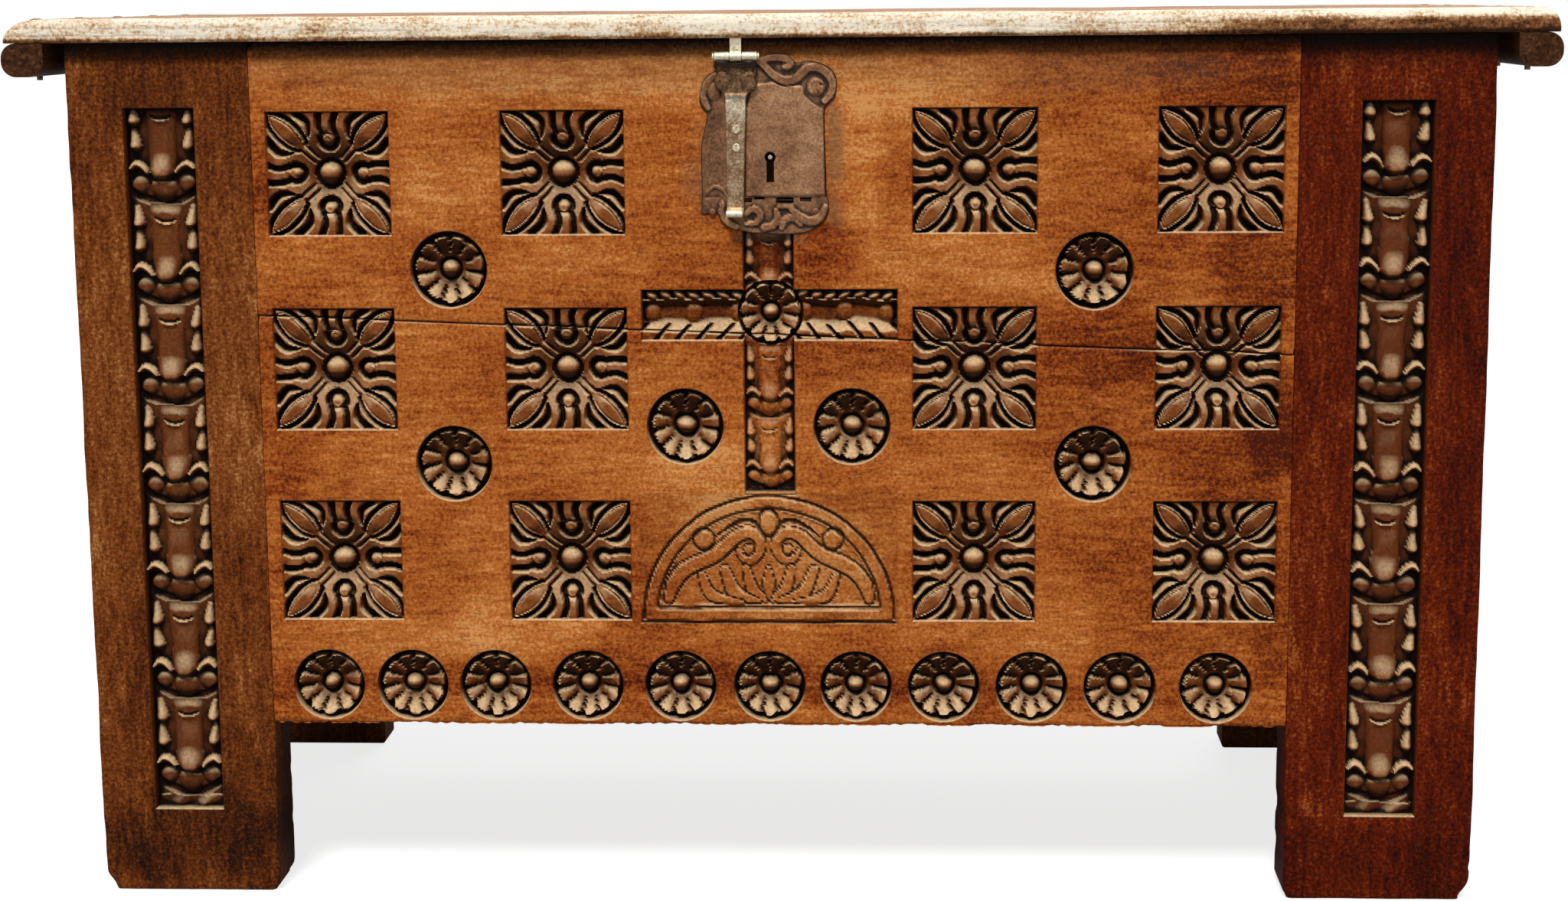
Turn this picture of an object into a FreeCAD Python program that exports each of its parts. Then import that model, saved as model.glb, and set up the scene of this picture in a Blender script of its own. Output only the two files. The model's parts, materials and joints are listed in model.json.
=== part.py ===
import FreeCAD
import Part
import math
import os

# Coffer chest: an oak chest of horizontal boards held between four stiles that run down as feet.
# A two-board lid turns on two strap hinges at the back, and an iron hasp hangs from its front
# edge over the lock. Millimetres. +Z is up, the front faces -Y, and +X is to the viewer's right.
# The origin is on the floor, under the middle of the lid.

# ---------------------------------------------------------------- driving dimensions

# Of every nail head, and of the cutters and searches that shape the pieces
nail_crown_share = 0.45
cut_margin = 1.0
edge_tolerance = 0.1

# Case
case_width = 1400.0
case_depth = 612.0
case_height = 871.0
foot_height = 181.0
left_stile_width = 183.0
right_stile_width = 188.0
front_stile_thickness = 65.0
rear_stile_thickness = 55.0
foot_corner_radius = 6.0
front_board_thickness = 32.0
rear_board_thickness = 26.0
end_board_thickness = 26.0
end_board_inset = 6.0
front_seam_height_left = 600.0
front_seam_height_right = 558.0
rear_seam_height = 520.0
end_seam_height = 540.0
seam_gap = 0.8

# Tongues on the boards, grooves in the stiles, and the pegs that hold them
tongue_thickness = 12.0
tongue_length = 18.0
tongue_side_clearance = 0.2
tongue_end_clearance = 1.0
peg_radius = 4.5
peg_edge_distance = 45.0
pegs_per_board = 3
front_peg_blind_wall = 8.0
rear_peg_length = 30.0
end_peg_length = 28.0

# Floor
floor_thickness = 20.0
floor_board_count = 5
floor_gap = 1.0
ledger_height = 28.0
ledger_thickness = 25.0
ledger_rise = 6.0
ledger_nail_count = 4
ledger_nail_radius = 2.0
ledger_nail_head_radius = 5.0
ledger_nail_head_height = 2.0
ledger_nail_bite = 12.0
ledger_nail_end_distance = 60.0

# Lid
lid_thickness = 24.0
lid_front_overhang = 18.0
lid_rear_overhang = 14.0
lid_front_board_depth = 330.0
lid_top_edge_radius = 10.0
lid_bottom_edge_radius = 4.0
cleat_width = 42.0
cleat_height = 33.0
cleat_gap = 13.0
cleat_setback = 4.0
cleat_end_overhang = 4.0
cleat_radius = 15.0
cleat_nail_count = 5
cleat_nail_radius = 3.0
cleat_nail_head_radius = 7.0
cleat_nail_head_height = 2.5
cleat_nail_point = 4.0
cleat_nail_end_distance = 45.0

# Strap hinges
hinge_spacing = 840.0
hinge_width = 40.0
hinge_thickness = 3.0
hinge_barrel_radius = 5.5
hinge_pin_radius = 2.5
hinge_axis_back = 3.0
hinge_middle_barrel = 15.0
hinge_barrel_gap = 0.4
hinge_leaf_height = 130.0
hinge_strap_length = 330.0
hinge_strap_width = 34.0
hinge_clearance = 0.5
hinge_running_clearance = 0.05
hinge_nail_count = 4
hinge_nail_radius = 2.0
hinge_nail_head_radius = 5.5
hinge_nail_head_height = 1.8
hinge_nail_length = 14.0
hinge_nail_end_distance = 20.0

# Lock plate; a drop is a distance down from the rim of the case
plate_left = 70.0
plate_right = 52.0
plate_top_drop = 43.0
plate_bottom_drop = 179.0
plate_thickness = 2.5
panel_left = 25.0
panel_top_drop = 63.0
panel_bottom_drop = 155.0
panel_thickness = 1.5
keyhole_x = -2.5
keyhole_drop = 116.0
keyhole_radius = 5.5
keyhole_slot_width = 7.5
keyhole_slot_depth = 24.5
drill_pin_radius = 2.1
drill_pin_setback = 1.0
plate_nail_radius = 1.5
plate_nail_head_radius = 3.2
plate_nail_head_height = 1.6
plate_nail_length = 8.0
plate_nail_inset = 10.0

# Round scroll ends on the plate's outline: (distance in from the side edge, distance above the
# top or bottom edge, radius)
plate_top_left_scrolls = ((16.0, -6.0, 15.0),)
plate_top_right_scrolls = ((8.0, -6.0, 18.0), (40.0, 10.0, 16.0))
plate_bottom_left_scrolls = ((26.0, 5.0, 13.0),)
plate_bottom_right_scrolls = ((12.0, 8.0, 22.0), (57.5, 2.0, 12.0))

# Lock behind the plate
lock_left = 52.0
lock_right = 46.0
lock_top_drop = 71.0
lock_bottom_drop = 159.0
lock_wall = 2.0
lock_back_clearance = 0.8
lock_pocket_clearance = 2.0
bolt_drop = 97.0
bolt_section_height = 12.0
bolt_section_depth = 6.0
bolt_nose = 24.0
bolt_tail = 43.0
bolt_front = 6.0
bolt_travel = 16.0
bolt_notch_width = 12.0
bolt_notch_depth = 4.0
bolt_clearance = 0.1
guide_width = 4.0
guide_wall = 4.0
spring_thickness = 0.8
spring_width = 5.0
spring_gap = 0.3

# Hasp
hasp_x = -35.0
hasp_width = 21.0
hasp_thickness = 4.0
hasp_head_width = 42.0
hasp_head_height = 26.0
hasp_stand_off = 2.5
hasp_bottom_drop = 166.5
hasp_lip_length = 13.0
hasp_lip_drop = 7.0
hasp_pin_drop = 17.5
hasp_pin_radius = 2.4
hasp_pin_head_radius = 3.6
hasp_pin_head_length = 1.5
hasp_pin_inset = 7.5
hasp_barrel_radius = 4.4
hasp_eye_radius = 5.0
hasp_eye_width = 11.0
hasp_eye_gap = 0.5
hasp_running_clearance = 0.05
hasp_strap_width = 22.0
hasp_strap_thickness = 3.0
hasp_strap_length = 120.0
hasp_nail_count = 3
hasp_nail_end_distance = 10.0
staple_section = 4.0
staple_eye_clearance = 1.0
staple_end_clearance = 1.2
staple_rivet_height = 1.5
staple_slot_clearance = 1.2
staple_swing_room = 4.5

# Carving on the front; a reach is a distance in from a stile's edge
carving_depth = 6.0
line_depth = 2.5
line_width = 3.0
square_size = 122.0
square_reach_left = 76.0
square_reach_right = 74.5
square_inner_columns = (-208.0, 198.0)
square_row_drop = 130.5
square_row_pitch = 195.2
square_row_count = 3
square_boss_radius = 11.0
leaf_inner = 26.0
leaf_outer = 80.0
leaf_bulge = 10.0
rosette_radius = 38.0
rosette_boss_radius = 9.0
rosette_petals = 8
petal_ring_share = 0.62
petal_radius_share = 0.22
rosette_places = ((-323.5, 226.0), (315.5, 229.5), (-323.5, 421.5), (315.5, 422.0),
                  (-90.0, 384.0), (76.5, 384.0))
row_rosette_radius = 36.0
row_rosette_rise = 39.5
row_rosette_x = (-458.5, -372.5, -287.5, -193.0, -98.5, -8.0, 79.5, 168.0, 256.5, 345.0, 441.0)
strip_width = 70.0
strip_top_drop = 65.0
strip_bottom = 88.0
strip_reach_left = 91.0
strip_reach_right = 92.5
strip_unit_count = 7
strip_first_knob_drop = 139.0
strip_pitch = 101.7
knob_radius = 17.0
trunk_radius = 12.0
trunk_share = 0.6
cross_left = -132.0
cross_right = 122.0
cross_x = -5.5
cross_arm_height = 50.0
cross_arm_drop = 272.0
cross_stem_width = 50.0
cross_bottom_drop = 453.0
cross_stem_gap = 4.0
arm_bosses = (-106.0, -66.0, 55.0, 95.0)
stem_boss_drops = (211.0, 361.0, 434.0)
cross_boss_radius = 13.0
lunette_x = -8.0
lunette_base_drop = 584.0
lunette_radius = 127.0
lunette_band = 15.0
volute_reach = 23.0
volute_rise = 73.0
volute_radius = 14.0

# ---------------------------------------------------------------- places worked out from them

lid_depth = lid_front_overhang + case_depth + lid_rear_overhang
lid_length = case_width + 2 * (cleat_gap + cleat_width)
lid_front = -lid_depth / 2
lid_back = lid_depth / 2
case_front = lid_front + lid_front_overhang
case_back = case_front + case_depth
case_left = -case_width / 2
case_right = case_width / 2
stile_inner_left = case_left + left_stile_width
stile_inner_right = case_right - right_stile_width
front_board_back = case_front + front_board_thickness
rear_board_front = case_back - rear_board_thickness
front_stile_back = case_front + front_stile_thickness
rear_stile_front = case_back - rear_stile_thickness
lid_top = case_height + lid_thickness
ledger_bottom = foot_height + ledger_rise
floor_bottom = ledger_bottom + ledger_height
hinge_axis_y = case_back + hinge_axis_back
plate_front = case_front - plate_thickness
panel_front = plate_front - panel_thickness
hasp_back = panel_front - hasp_stand_off
hasp_front = hasp_back - hasp_thickness
hasp_pin_y = case_front - hasp_pin_inset
hasp_pin_height = case_height - hasp_pin_drop
hasp_bottom = case_height - hasp_bottom_drop
plate_top = case_height - plate_top_drop
plate_bottom = case_height - plate_bottom_drop
panel_top = case_height - panel_top_drop
panel_bottom = case_height - panel_bottom_drop
keyhole_height = case_height - keyhole_drop
lock_top = case_height - lock_top_drop
lock_bottom = case_height - lock_bottom_drop
bolt_height = case_height - bolt_drop
bolt_y0 = case_front + bolt_front
bolt_y1 = bolt_y0 + bolt_section_depth
staple_eye_height = bolt_section_height + 2 * staple_eye_clearance
staple_eye_end = bolt_y1 + staple_end_clearance
lock_inside_back = staple_eye_end + staple_section + lock_back_clearance
lock_back = lock_inside_back + lock_wall
cross_arm_centre = case_height - cross_arm_drop
cross_bottom = case_height - cross_bottom_drop
lunette_base = case_height - lunette_base_drop


# ---------------------------------------------------------------- small helpers

def block(x0, x1, y0, y1, z0, z1):
    """A box between two corners."""
    corner = FreeCAD.Vector(x0, y0, z0)
    return Part.makeBox(x1 - x0, y1 - y0, z1 - z0, corner)


def rod(x, y, z, radius, length, direction):
    """A cylinder from a point along a direction."""
    return Part.makeCylinder(radius, length, FreeCAD.Vector(x, y, z), FreeCAD.Vector(*direction))


def prism_y(points, y0, y1):
    """A flat outline of (x, z) points carried from y0 to y1."""
    corners = [FreeCAD.Vector(x, y0, z) for x, z in points]
    face = Part.Face(Part.makePolygon(corners + corners[:1]))
    return face.extrude(FreeCAD.Vector(0, y1 - y0, 0))


def joined(shapes):
    """One solid from pieces that touch or cross."""
    whole = shapes[0].fuse(shapes[1:]) if len(shapes) > 1 else shapes[0]
    return whole.removeSplitter()


def without(shape, cutters):
    """A shape less every cutter."""
    return shape.cut(cutters) if cutters else shape


def spread(first, last, count):
    """Evenly spaced places from first to last."""
    return [first + (last - first) * i / (count - 1) for i in range(count)]


def nail(x, y, z, direction, length, radius, head_radius, head_height):
    """A nail whose domed head sits on the point and whose shank goes along the direction."""
    axis = FreeCAD.Vector(*direction)
    point = FreeCAD.Vector(x, y, z)
    shank = Part.makeCylinder(radius, length, point, axis)
    base = Part.makeCylinder(head_radius, head_height / 2, point - axis * (head_height / 2), axis)
    top = Part.makeCone(head_radius * nail_crown_share, head_radius, head_height / 2,
                        point - axis * head_height, axis)
    return joined([shank, base, top])


parts = {}


def keep(name, shapes):
    """Store one node: a solid, or a group of separate solids."""
    parts[name] = shapes[0] if len(shapes) == 1 else Part.makeCompound(shapes)


# ---------------------------------------------------------------- carving on the front

def square_carving():
    """The sunk square: a recess that leaves a boss and four corner leaves standing."""
    half = square_size / 2
    recess = block(-half, half, 0, carving_depth, -half, half)
    boss = Part.makeSphere(square_boss_radius, FreeCAD.Vector(0, carving_depth, 0))
    middle = (leaf_inner + leaf_outer) / 2
    reach = (leaf_outer - leaf_inner) / 2
    radius = (reach ** 2 + leaf_bulge ** 2) / (2 * leaf_bulge)
    leaves = []
    for quarter in range(4):
        turn = math.radians(45 + 90 * quarter)
        along = FreeCAD.Vector(math.cos(turn), 0, math.sin(turn))
        across = FreeCAD.Vector(-math.sin(turn), 0, math.cos(turn))
        discs = []
        for side in (-1, 1):
            centre = along * middle + across * (side * (radius - leaf_bulge))
            discs.append(Part.makeCylinder(radius, carving_depth, centre, FreeCAD.Vector(0, 1, 0)))
        leaves.append(discs[0].common(discs[1]))
    return recess.cut([boss] + leaves)


def rosette_carving(radius):
    """The sunk roundel: a disc that leaves a boss and a ring of low petals standing."""
    disc = rod(0, 0, 0, radius, carving_depth, (0, 1, 0))
    boss = Part.makeSphere(rosette_boss_radius, FreeCAD.Vector(0, carving_depth, 0))
    petals = []
    ring = radius * petal_ring_share
    petal_radius = radius * petal_radius_share
    for i in range(rosette_petals):
        turn = 2 * math.pi * i / rosette_petals
        place = (ring * math.cos(turn), carving_depth / 2, ring * math.sin(turn))
        petals.append(rod(*place, petal_radius, carving_depth / 2, (0, 1, 0)))
    return disc.cut([boss] + petals)


def strip_carving(centre):
    """The upright sunk strip with a chain of husks: a rounded trunk and a knob in each."""
    half = strip_width / 2
    recess = block(centre - half, centre + half, 0, carving_depth,
                   strip_bottom, case_height - strip_top_drop)
    standing = []
    for i in range(strip_unit_count):
        z = case_height - strip_first_knob_drop - strip_pitch * i
        knob = Part.makeSphere(knob_radius, FreeCAD.Vector(centre, knob_radius, z))
        trunk = rod(centre, trunk_radius, z, trunk_radius, strip_pitch * trunk_share, (0, 0, 1))
        standing += [knob, trunk]
    inside = joined(standing).common(recess)
    return recess.cut(inside)


def cross_carving():
    """The sunk cross, with bosses left standing along it and a roundel at the crossing."""
    half_arm = cross_arm_height / 2
    half_stem = cross_stem_width / 2
    arm = block(cross_left, cross_right, 0, carving_depth,
                cross_arm_centre - half_arm, cross_arm_centre + half_arm)
    stem = block(cross_x - half_stem, cross_x + half_stem, 0, carving_depth,
                 cross_bottom, lock_bottom - lock_pocket_clearance - cross_stem_gap)
    bosses = []
    radius = cross_boss_radius
    for x in arm_bosses:
        bosses.append(Part.makeSphere(radius, FreeCAD.Vector(x, radius, cross_arm_centre)))
    for drop in stem_boss_drops:
        bosses.append(Part.makeSphere(radius, FreeCAD.Vector(cross_x, radius,
                                                             case_height - drop)))
    bosses.append(Part.makeSphere(rosette_boss_radius,
                                  FreeCAD.Vector(cross_x, carving_depth, cross_arm_centre)))
    return joined([arm, stem]).cut(bosses)


def half_ring(outer, inner):
    """A half ring of the line depth, flat side down on the lunette's base."""
    centre = (lunette_x, 0, lunette_base)
    ring = rod(*centre, outer, line_depth, (0, 1, 0)).cut(rod(*centre, inner, line_depth, (0, 1, 0)))
    upper = block(lunette_x - outer, lunette_x + outer, 0, line_depth,
                  lunette_base, lunette_base + outer)
    return ring.common(upper)


def lunette_carving():
    """The half-round panel, drawn in shallow grooves: two arcs, a base line and two scrolls."""
    inner = lunette_radius - lunette_band
    cuts = [half_ring(lunette_radius, lunette_radius - line_width),
            half_ring(inner, inner - line_width)]
    for z in (lunette_base, lunette_base + lunette_band):
        cuts.append(block(lunette_x - inner, lunette_x + inner, 0, line_depth, z, z + line_width))
    for side in (-1, 1):
        place = (lunette_x + volute_reach * side, 0, lunette_base + volute_rise)
        outer = rod(*place, volute_radius, line_depth, (0, 1, 0))
        cuts.append(outer.cut(rod(*place, volute_radius - line_width, line_depth, (0, 1, 0))))
    return cuts


def board_carvings():
    """Every carving on the front boards, in place."""
    cuts = []
    square = square_carving()
    columns = (stile_inner_left + square_reach_left, *square_inner_columns,
               stile_inner_right - square_reach_right)
    for x in columns:
        for row in range(square_row_count):
            z = case_height - square_row_drop - square_row_pitch * row
            cuts.append(square.translated(FreeCAD.Vector(x, case_front, z)))
    large = rosette_carving(rosette_radius)
    for x, drop in rosette_places:
        cuts.append(large.translated(FreeCAD.Vector(x, case_front, case_height - drop)))
    small = rosette_carving(row_rosette_radius)
    for x in row_rosette_x:
        place = FreeCAD.Vector(x, case_front, foot_height + row_rosette_rise)
        cuts.append(small.translated(place))
    for shape in [cross_carving()] + lunette_carving():
        cuts.append(shape.translated(FreeCAD.Vector(0, case_front, 0)))
    return cuts


# ---------------------------------------------------------------- pegs and nails in the case

def board_spans():
    """Each wall's boards as (bottom, top) heights, lowest first."""
    gap = seam_gap / 2
    front_seam = (front_seam_height_left + front_seam_height_right) / 2
    return {"front": [(foot_height, front_seam - gap), (front_seam + gap, case_height)],
            "rear": [(foot_height, rear_seam_height - gap), (rear_seam_height + gap, case_height)],
            "end": [(foot_height, end_seam_height - gap), (end_seam_height + gap, case_height)]}


def peg_heights(wall):
    """Peg heights for a wall: a few across each of its boards, clear of the seams."""
    heights = []
    for bottom, top in board_spans()[wall]:
        heights += spread(bottom + peg_edge_distance, top - peg_edge_distance, pegs_per_board)
    return heights


def front_pegs():
    """Blind pegs driven from inside through the front stiles and the boards' tongues."""
    pegs = []
    start = case_front + front_peg_blind_wall
    length = front_stile_thickness - front_peg_blind_wall
    for x in (stile_inner_left - tongue_length / 2, stile_inner_right + tongue_length / 2):
        for z in peg_heights("front"):
            pegs.append(rod(x, start, z, peg_radius, length, (0, 1, 0)))
    return pegs


def rear_pegs():
    """Pegs driven from behind through the rear stiles and the boards' tongues."""
    pegs = []
    for x in (stile_inner_left - tongue_length / 2, stile_inner_right + tongue_length / 2):
        for z in peg_heights("rear"):
            pegs.append(rod(x, case_back - rear_peg_length, z, peg_radius, rear_peg_length,
                            (0, 1, 0)))
    return pegs


def end_pegs():
    """Pegs driven from outside through the stiles' edges and the end boards' tongues."""
    pegs = []
    places = (front_stile_back - tongue_length / 2, rear_stile_front + tongue_length / 2)
    for y in places:
        for z in peg_heights("end"):
            pegs.append(rod(case_left, y, z, peg_radius, end_peg_length, (1, 0, 0)))
            pegs.append(rod(case_right, y, z, peg_radius, end_peg_length, (-1, 0, 0)))
    return pegs


def ledger_nails():
    """Nails through the four ledgers into the boards behind them."""
    nails = []
    z = ledger_bottom + ledger_height / 2
    size = (ledger_thickness + ledger_nail_bite, ledger_nail_radius,
            ledger_nail_head_radius, ledger_nail_head_height)
    first = stile_inner_left + ledger_nail_end_distance
    last = stile_inner_right - ledger_nail_end_distance
    for x in spread(first, last, ledger_nail_count):
        nails.append(nail(x, front_board_back + ledger_thickness, z, (0, -1, 0), *size))
        nails.append(nail(x, rear_board_front - ledger_thickness, z, (0, 1, 0), *size))
    wall = case_width / 2 - end_board_inset - end_board_thickness
    first = front_stile_back + ledger_nail_end_distance
    last = rear_stile_front - ledger_nail_end_distance
    for y in spread(first, last, ledger_nail_count):
        nails.append(nail(-wall + ledger_thickness, y, z, (-1, 0, 0), *size))
        nails.append(nail(wall - ledger_thickness, y, z, (1, 0, 0), *size))
    return nails


# ---------------------------------------------------------------- stiles

def stile(x0, x1, inner_x, outer_x, y0, y1, board_faces, cutters):
    """One stile with a groove for the long wall's boards and one for the end boards."""
    body = block(x0, x1, y0, y1, 0, case_height)
    inward = 1 if inner_x > outer_x else -1
    reach = tongue_length + tongue_end_clearance
    side = tongue_side_clearance
    groove_x = sorted((inner_x, inner_x - inward * reach))
    middle = sum(board_faces) / 2
    half = tongue_thickness / 2 + side
    grooves = [block(*groove_x, middle - half, middle + half, foot_height, case_height)]
    end_middle = outer_x + inward * (end_board_inset + end_board_thickness / 2)
    facing_back = y0 == case_front
    groove_y = (y1 - reach, y1) if facing_back else (y0, y0 + reach)
    grooves.append(block(end_middle - half, end_middle + half, *groove_y,
                         foot_height, case_height))
    rounded = []
    for edge in body.Edges:
        low = edge.BoundBox.ZMax < edge_tolerance
        if low:
            rounded.append(edge)
    body = body.makeFillet(foot_corner_radius, rounded)
    return without(body, grooves + cutters)


def make_stiles(pegs):
    """The two front stiles, carved, and the two plain rear stiles."""
    front_faces = (case_front, front_board_back)
    rear_faces = (rear_board_front, case_back)
    sides = (("left", case_left, stile_inner_left, stile_inner_left, case_left,
              case_left + strip_reach_left),
             ("right", stile_inner_right, case_right, stile_inner_right, case_right,
              case_right - strip_reach_right))
    for name, x0, x1, inner, outer, centre in sides:
        carving = strip_carving(centre).translated(FreeCAD.Vector(0, case_front, 0))
        keep("front_stile_" + name, [stile(x0, x1, inner, outer, case_front, front_stile_back,
                                           front_faces, pegs + [carving])])
        keep("rear_stile_" + name, [stile(x0, x1, inner, outer, rear_stile_front, case_back,
                                          rear_faces, pegs)])


# ---------------------------------------------------------------- boards of the case

def long_board(y0, y1, lower, upper):
    """A board along X with a tongue at each end; lower and upper are (left, right) heights."""
    left, right = stile_inner_left, stile_inner_right

    def outline(x0, x1):
        span = right - left
        low = [lower[0] + (lower[1] - lower[0]) * (x - left) / span for x in (x0, x1)]
        high = [upper[0] + (upper[1] - upper[0]) * (x - left) / span for x in (x0, x1)]
        return [(x0, low[0]), (x1, low[1]), (x1, high[1]), (x0, high[0])]

    middle = (y0 + y1) / 2
    half = tongue_thickness / 2
    body = prism_y(outline(left, right), y0, y1)
    tongue = prism_y(outline(left - tongue_length, right + tongue_length),
                     middle - half, middle + half)
    return joined([body, tongue])


def hinge_places():
    """The middle of each strap hinge along X, by side."""
    return {"left": -hinge_spacing / 2, "right": hinge_spacing / 2}


def barrel_room(x):
    """The room that a hinge's barrels need in the wood around them."""
    return rod(x - hinge_width / 2 - hinge_clearance, hinge_axis_y, case_height,
               hinge_barrel_radius + hinge_clearance, hinge_width + 2 * hinge_clearance, (1, 0, 0))


def lock_pocket():
    """The recess in the front boards that takes the lock."""
    room = lock_pocket_clearance
    return block(-lock_left - room, lock_right + room, case_front, lock_back + room,
                 lock_bottom - room, lock_top + room)


def leaf_recess(x):
    """The recess in the upper rear board that takes a hinge leaf flush."""
    half = hinge_width / 2
    return block(x - half, x + half, case_back - hinge_thickness, case_back,
                 case_height - hinge_leaf_height, case_height)


def make_long_boards(cutters, carvings):
    """Front and rear boards."""
    gap = seam_gap / 2
    left, right = front_seam_height_left, front_seam_height_right
    lower = long_board(case_front, front_board_back, (foot_height, foot_height),
                       (left - gap, right - gap))
    upper = long_board(case_front, front_board_back, (left + gap, right + gap),
                       (case_height, case_height))
    front_cuts = cutters + carvings + [lock_pocket()]
    keep("front_board_lower", [without(lower, front_cuts)])
    keep("front_board_upper", [without(upper, front_cuts)])
    seam = rear_seam_height
    lower = long_board(rear_board_front, case_back, (foot_height, foot_height),
                       (seam - gap, seam - gap))
    upper = long_board(rear_board_front, case_back, (seam + gap, seam + gap),
                       (case_height, case_height))
    keep("rear_board_lower", [without(lower, cutters)])
    recesses = []
    for x in hinge_places().values():
        recesses += [leaf_recess(x), barrel_room(x)]
    keep("rear_board_upper", [without(upper, cutters + recesses)])


def make_end_boards(cutters):
    """Two boards at each end, tongued into the stiles."""
    gap = seam_gap / 2
    heights = {"lower": (foot_height, end_seam_height - gap),
               "upper": (end_seam_height + gap, case_height)}
    half = tongue_thickness / 2
    for name, side in (("left", -1), ("right", 1)):
        outer = side * (case_width / 2 - end_board_inset)
        inner = outer - side * end_board_thickness
        middle = (outer + inner) / 2
        for level, (z0, z1) in heights.items():
            body = block(*sorted((outer, inner)), front_stile_back, rear_stile_front, z0, z1)
            tongue = block(middle - half, middle + half, front_stile_back - tongue_length,
                           rear_stile_front + tongue_length, z0, z1)
            keep("end_board_%s_%s" % (name, level), [without(joined([body, tongue]), cutters)])


def make_floor(cutters):
    """Boards laid front to back on four ledgers nailed inside the walls."""
    top = floor_bottom + floor_thickness
    gap = floor_gap
    width = (stile_inner_right - stile_inner_left) / floor_board_count
    wall = case_width / 2 - end_board_inset - end_board_thickness
    spans = [(-wall, stile_inner_left, front_stile_back, rear_stile_front)]
    for i in range(floor_board_count):
        x = stile_inner_left + width * i
        spans.append((x, x + width, front_board_back, rear_board_front))
    spans.append((stile_inner_right, wall, front_stile_back, rear_stile_front))
    for i, (x0, x1, y0, y1) in enumerate(spans):
        board = block(x0 + gap / 2, x1 - gap / 2, y0 + gap, y1 - gap, floor_bottom, top)
        keep("floor_board_%d" % (i + 1), [board])
    z0, z1 = ledger_bottom, floor_bottom
    deep = ledger_thickness
    left, right = stile_inner_left + gap, stile_inner_right - gap
    keep("floor_ledger_front",
         [without(block(left, right, front_board_back, front_board_back + deep, z0, z1), cutters)])
    keep("floor_ledger_rear",
         [without(block(left, right, rear_board_front - deep, rear_board_front, z0, z1), cutters)])
    y0, y1 = front_stile_back + gap, rear_stile_front - gap
    keep("floor_ledger_left", [without(block(-wall, -wall + deep, y0, y1, z0, z1), cutters)])
    keep("floor_ledger_right", [without(block(wall - deep, wall, y0, y1, z0, z1), cutters)])


# ---------------------------------------------------------------- lid

def cleat_nails(side):
    """Nails down through the lid and one cleat, their heads sunk flush and their points below."""
    x = side * (lid_length / 2 - cleat_width / 2)
    length = lid_thickness + cleat_height + cleat_nail_point - cleat_nail_head_height
    places = spread(lid_front + cleat_nail_end_distance, lid_back - cleat_nail_end_distance,
                    cleat_nail_count)
    under_head = lid_top - cleat_nail_head_height
    return [nail(x, y, under_head, (0, 0, -1), length, cleat_nail_radius,
                 cleat_nail_head_radius, cleat_nail_head_height) for y in places]


def strap_nails():
    """Nails up through the hinge straps into the lid."""
    nails = []
    first = hinge_axis_y - hinge_strap_length + hinge_nail_end_distance
    last = rear_board_front - hinge_nail_end_distance
    for x in hinge_places().values():
        for y in spread(first, last, hinge_nail_count):
            nails.append(nail(x, y, case_height, (0, 0, 1), hinge_nail_length,
                              hinge_nail_radius, hinge_nail_head_radius, hinge_nail_head_height))
    return nails


def leaf_nails():
    """Nails through the hinge leaves into the upper rear board."""
    nails = []
    first = case_height - hinge_leaf_height + hinge_nail_end_distance
    last = case_height - hinge_nail_end_distance
    for x in hinge_places().values():
        for z in spread(first, last, hinge_nail_count):
            nails.append(nail(x, case_back, z, (0, -1, 0), hinge_nail_length,
                              hinge_nail_radius, hinge_nail_head_radius, hinge_nail_head_height))
    return nails


def hasp_strap_end():
    """The inner end of the hasp's strap."""
    return hasp_pin_y + hasp_strap_length


def hasp_nails():
    """Nails up through the hasp's strap into the lid, inside the chest."""
    nails = []
    first = front_board_back + hinge_nail_end_distance
    last = hasp_strap_end() - hasp_nail_end_distance
    for y in spread(first, last, hasp_nail_count):
        nails.append(nail(hasp_x, y, case_height, (0, 0, 1), hinge_nail_length,
                          hinge_nail_radius, hinge_nail_head_radius, hinge_nail_head_height))
    return nails


def lid_board(y0, y1, cutters):
    """One lid board, rounded along the edges that lie on the lid's outside."""
    half = lid_length / 2
    board = block(-half, half, y0, y1, case_height, lid_top)
    for z, radius in ((lid_top, lid_top_edge_radius), (case_height, lid_bottom_edge_radius)):
        rounded = []
        for edge in board.Edges:
            box = edge.BoundBox
            near = edge_tolerance
            level = abs(box.ZMin - z) < near and abs(box.ZMax - z) < near
            at_end = abs(abs(box.XMin) - half) < near and box.XLength < near
            at_side = box.YLength < near and (abs(box.YMin - lid_front) < near
                                              or abs(box.YMin - lid_back) < near)
            if level and (at_end or at_side):
                rounded.append(edge)
        board = board.makeFillet(radius, rounded)
    return without(board, cutters)


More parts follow.
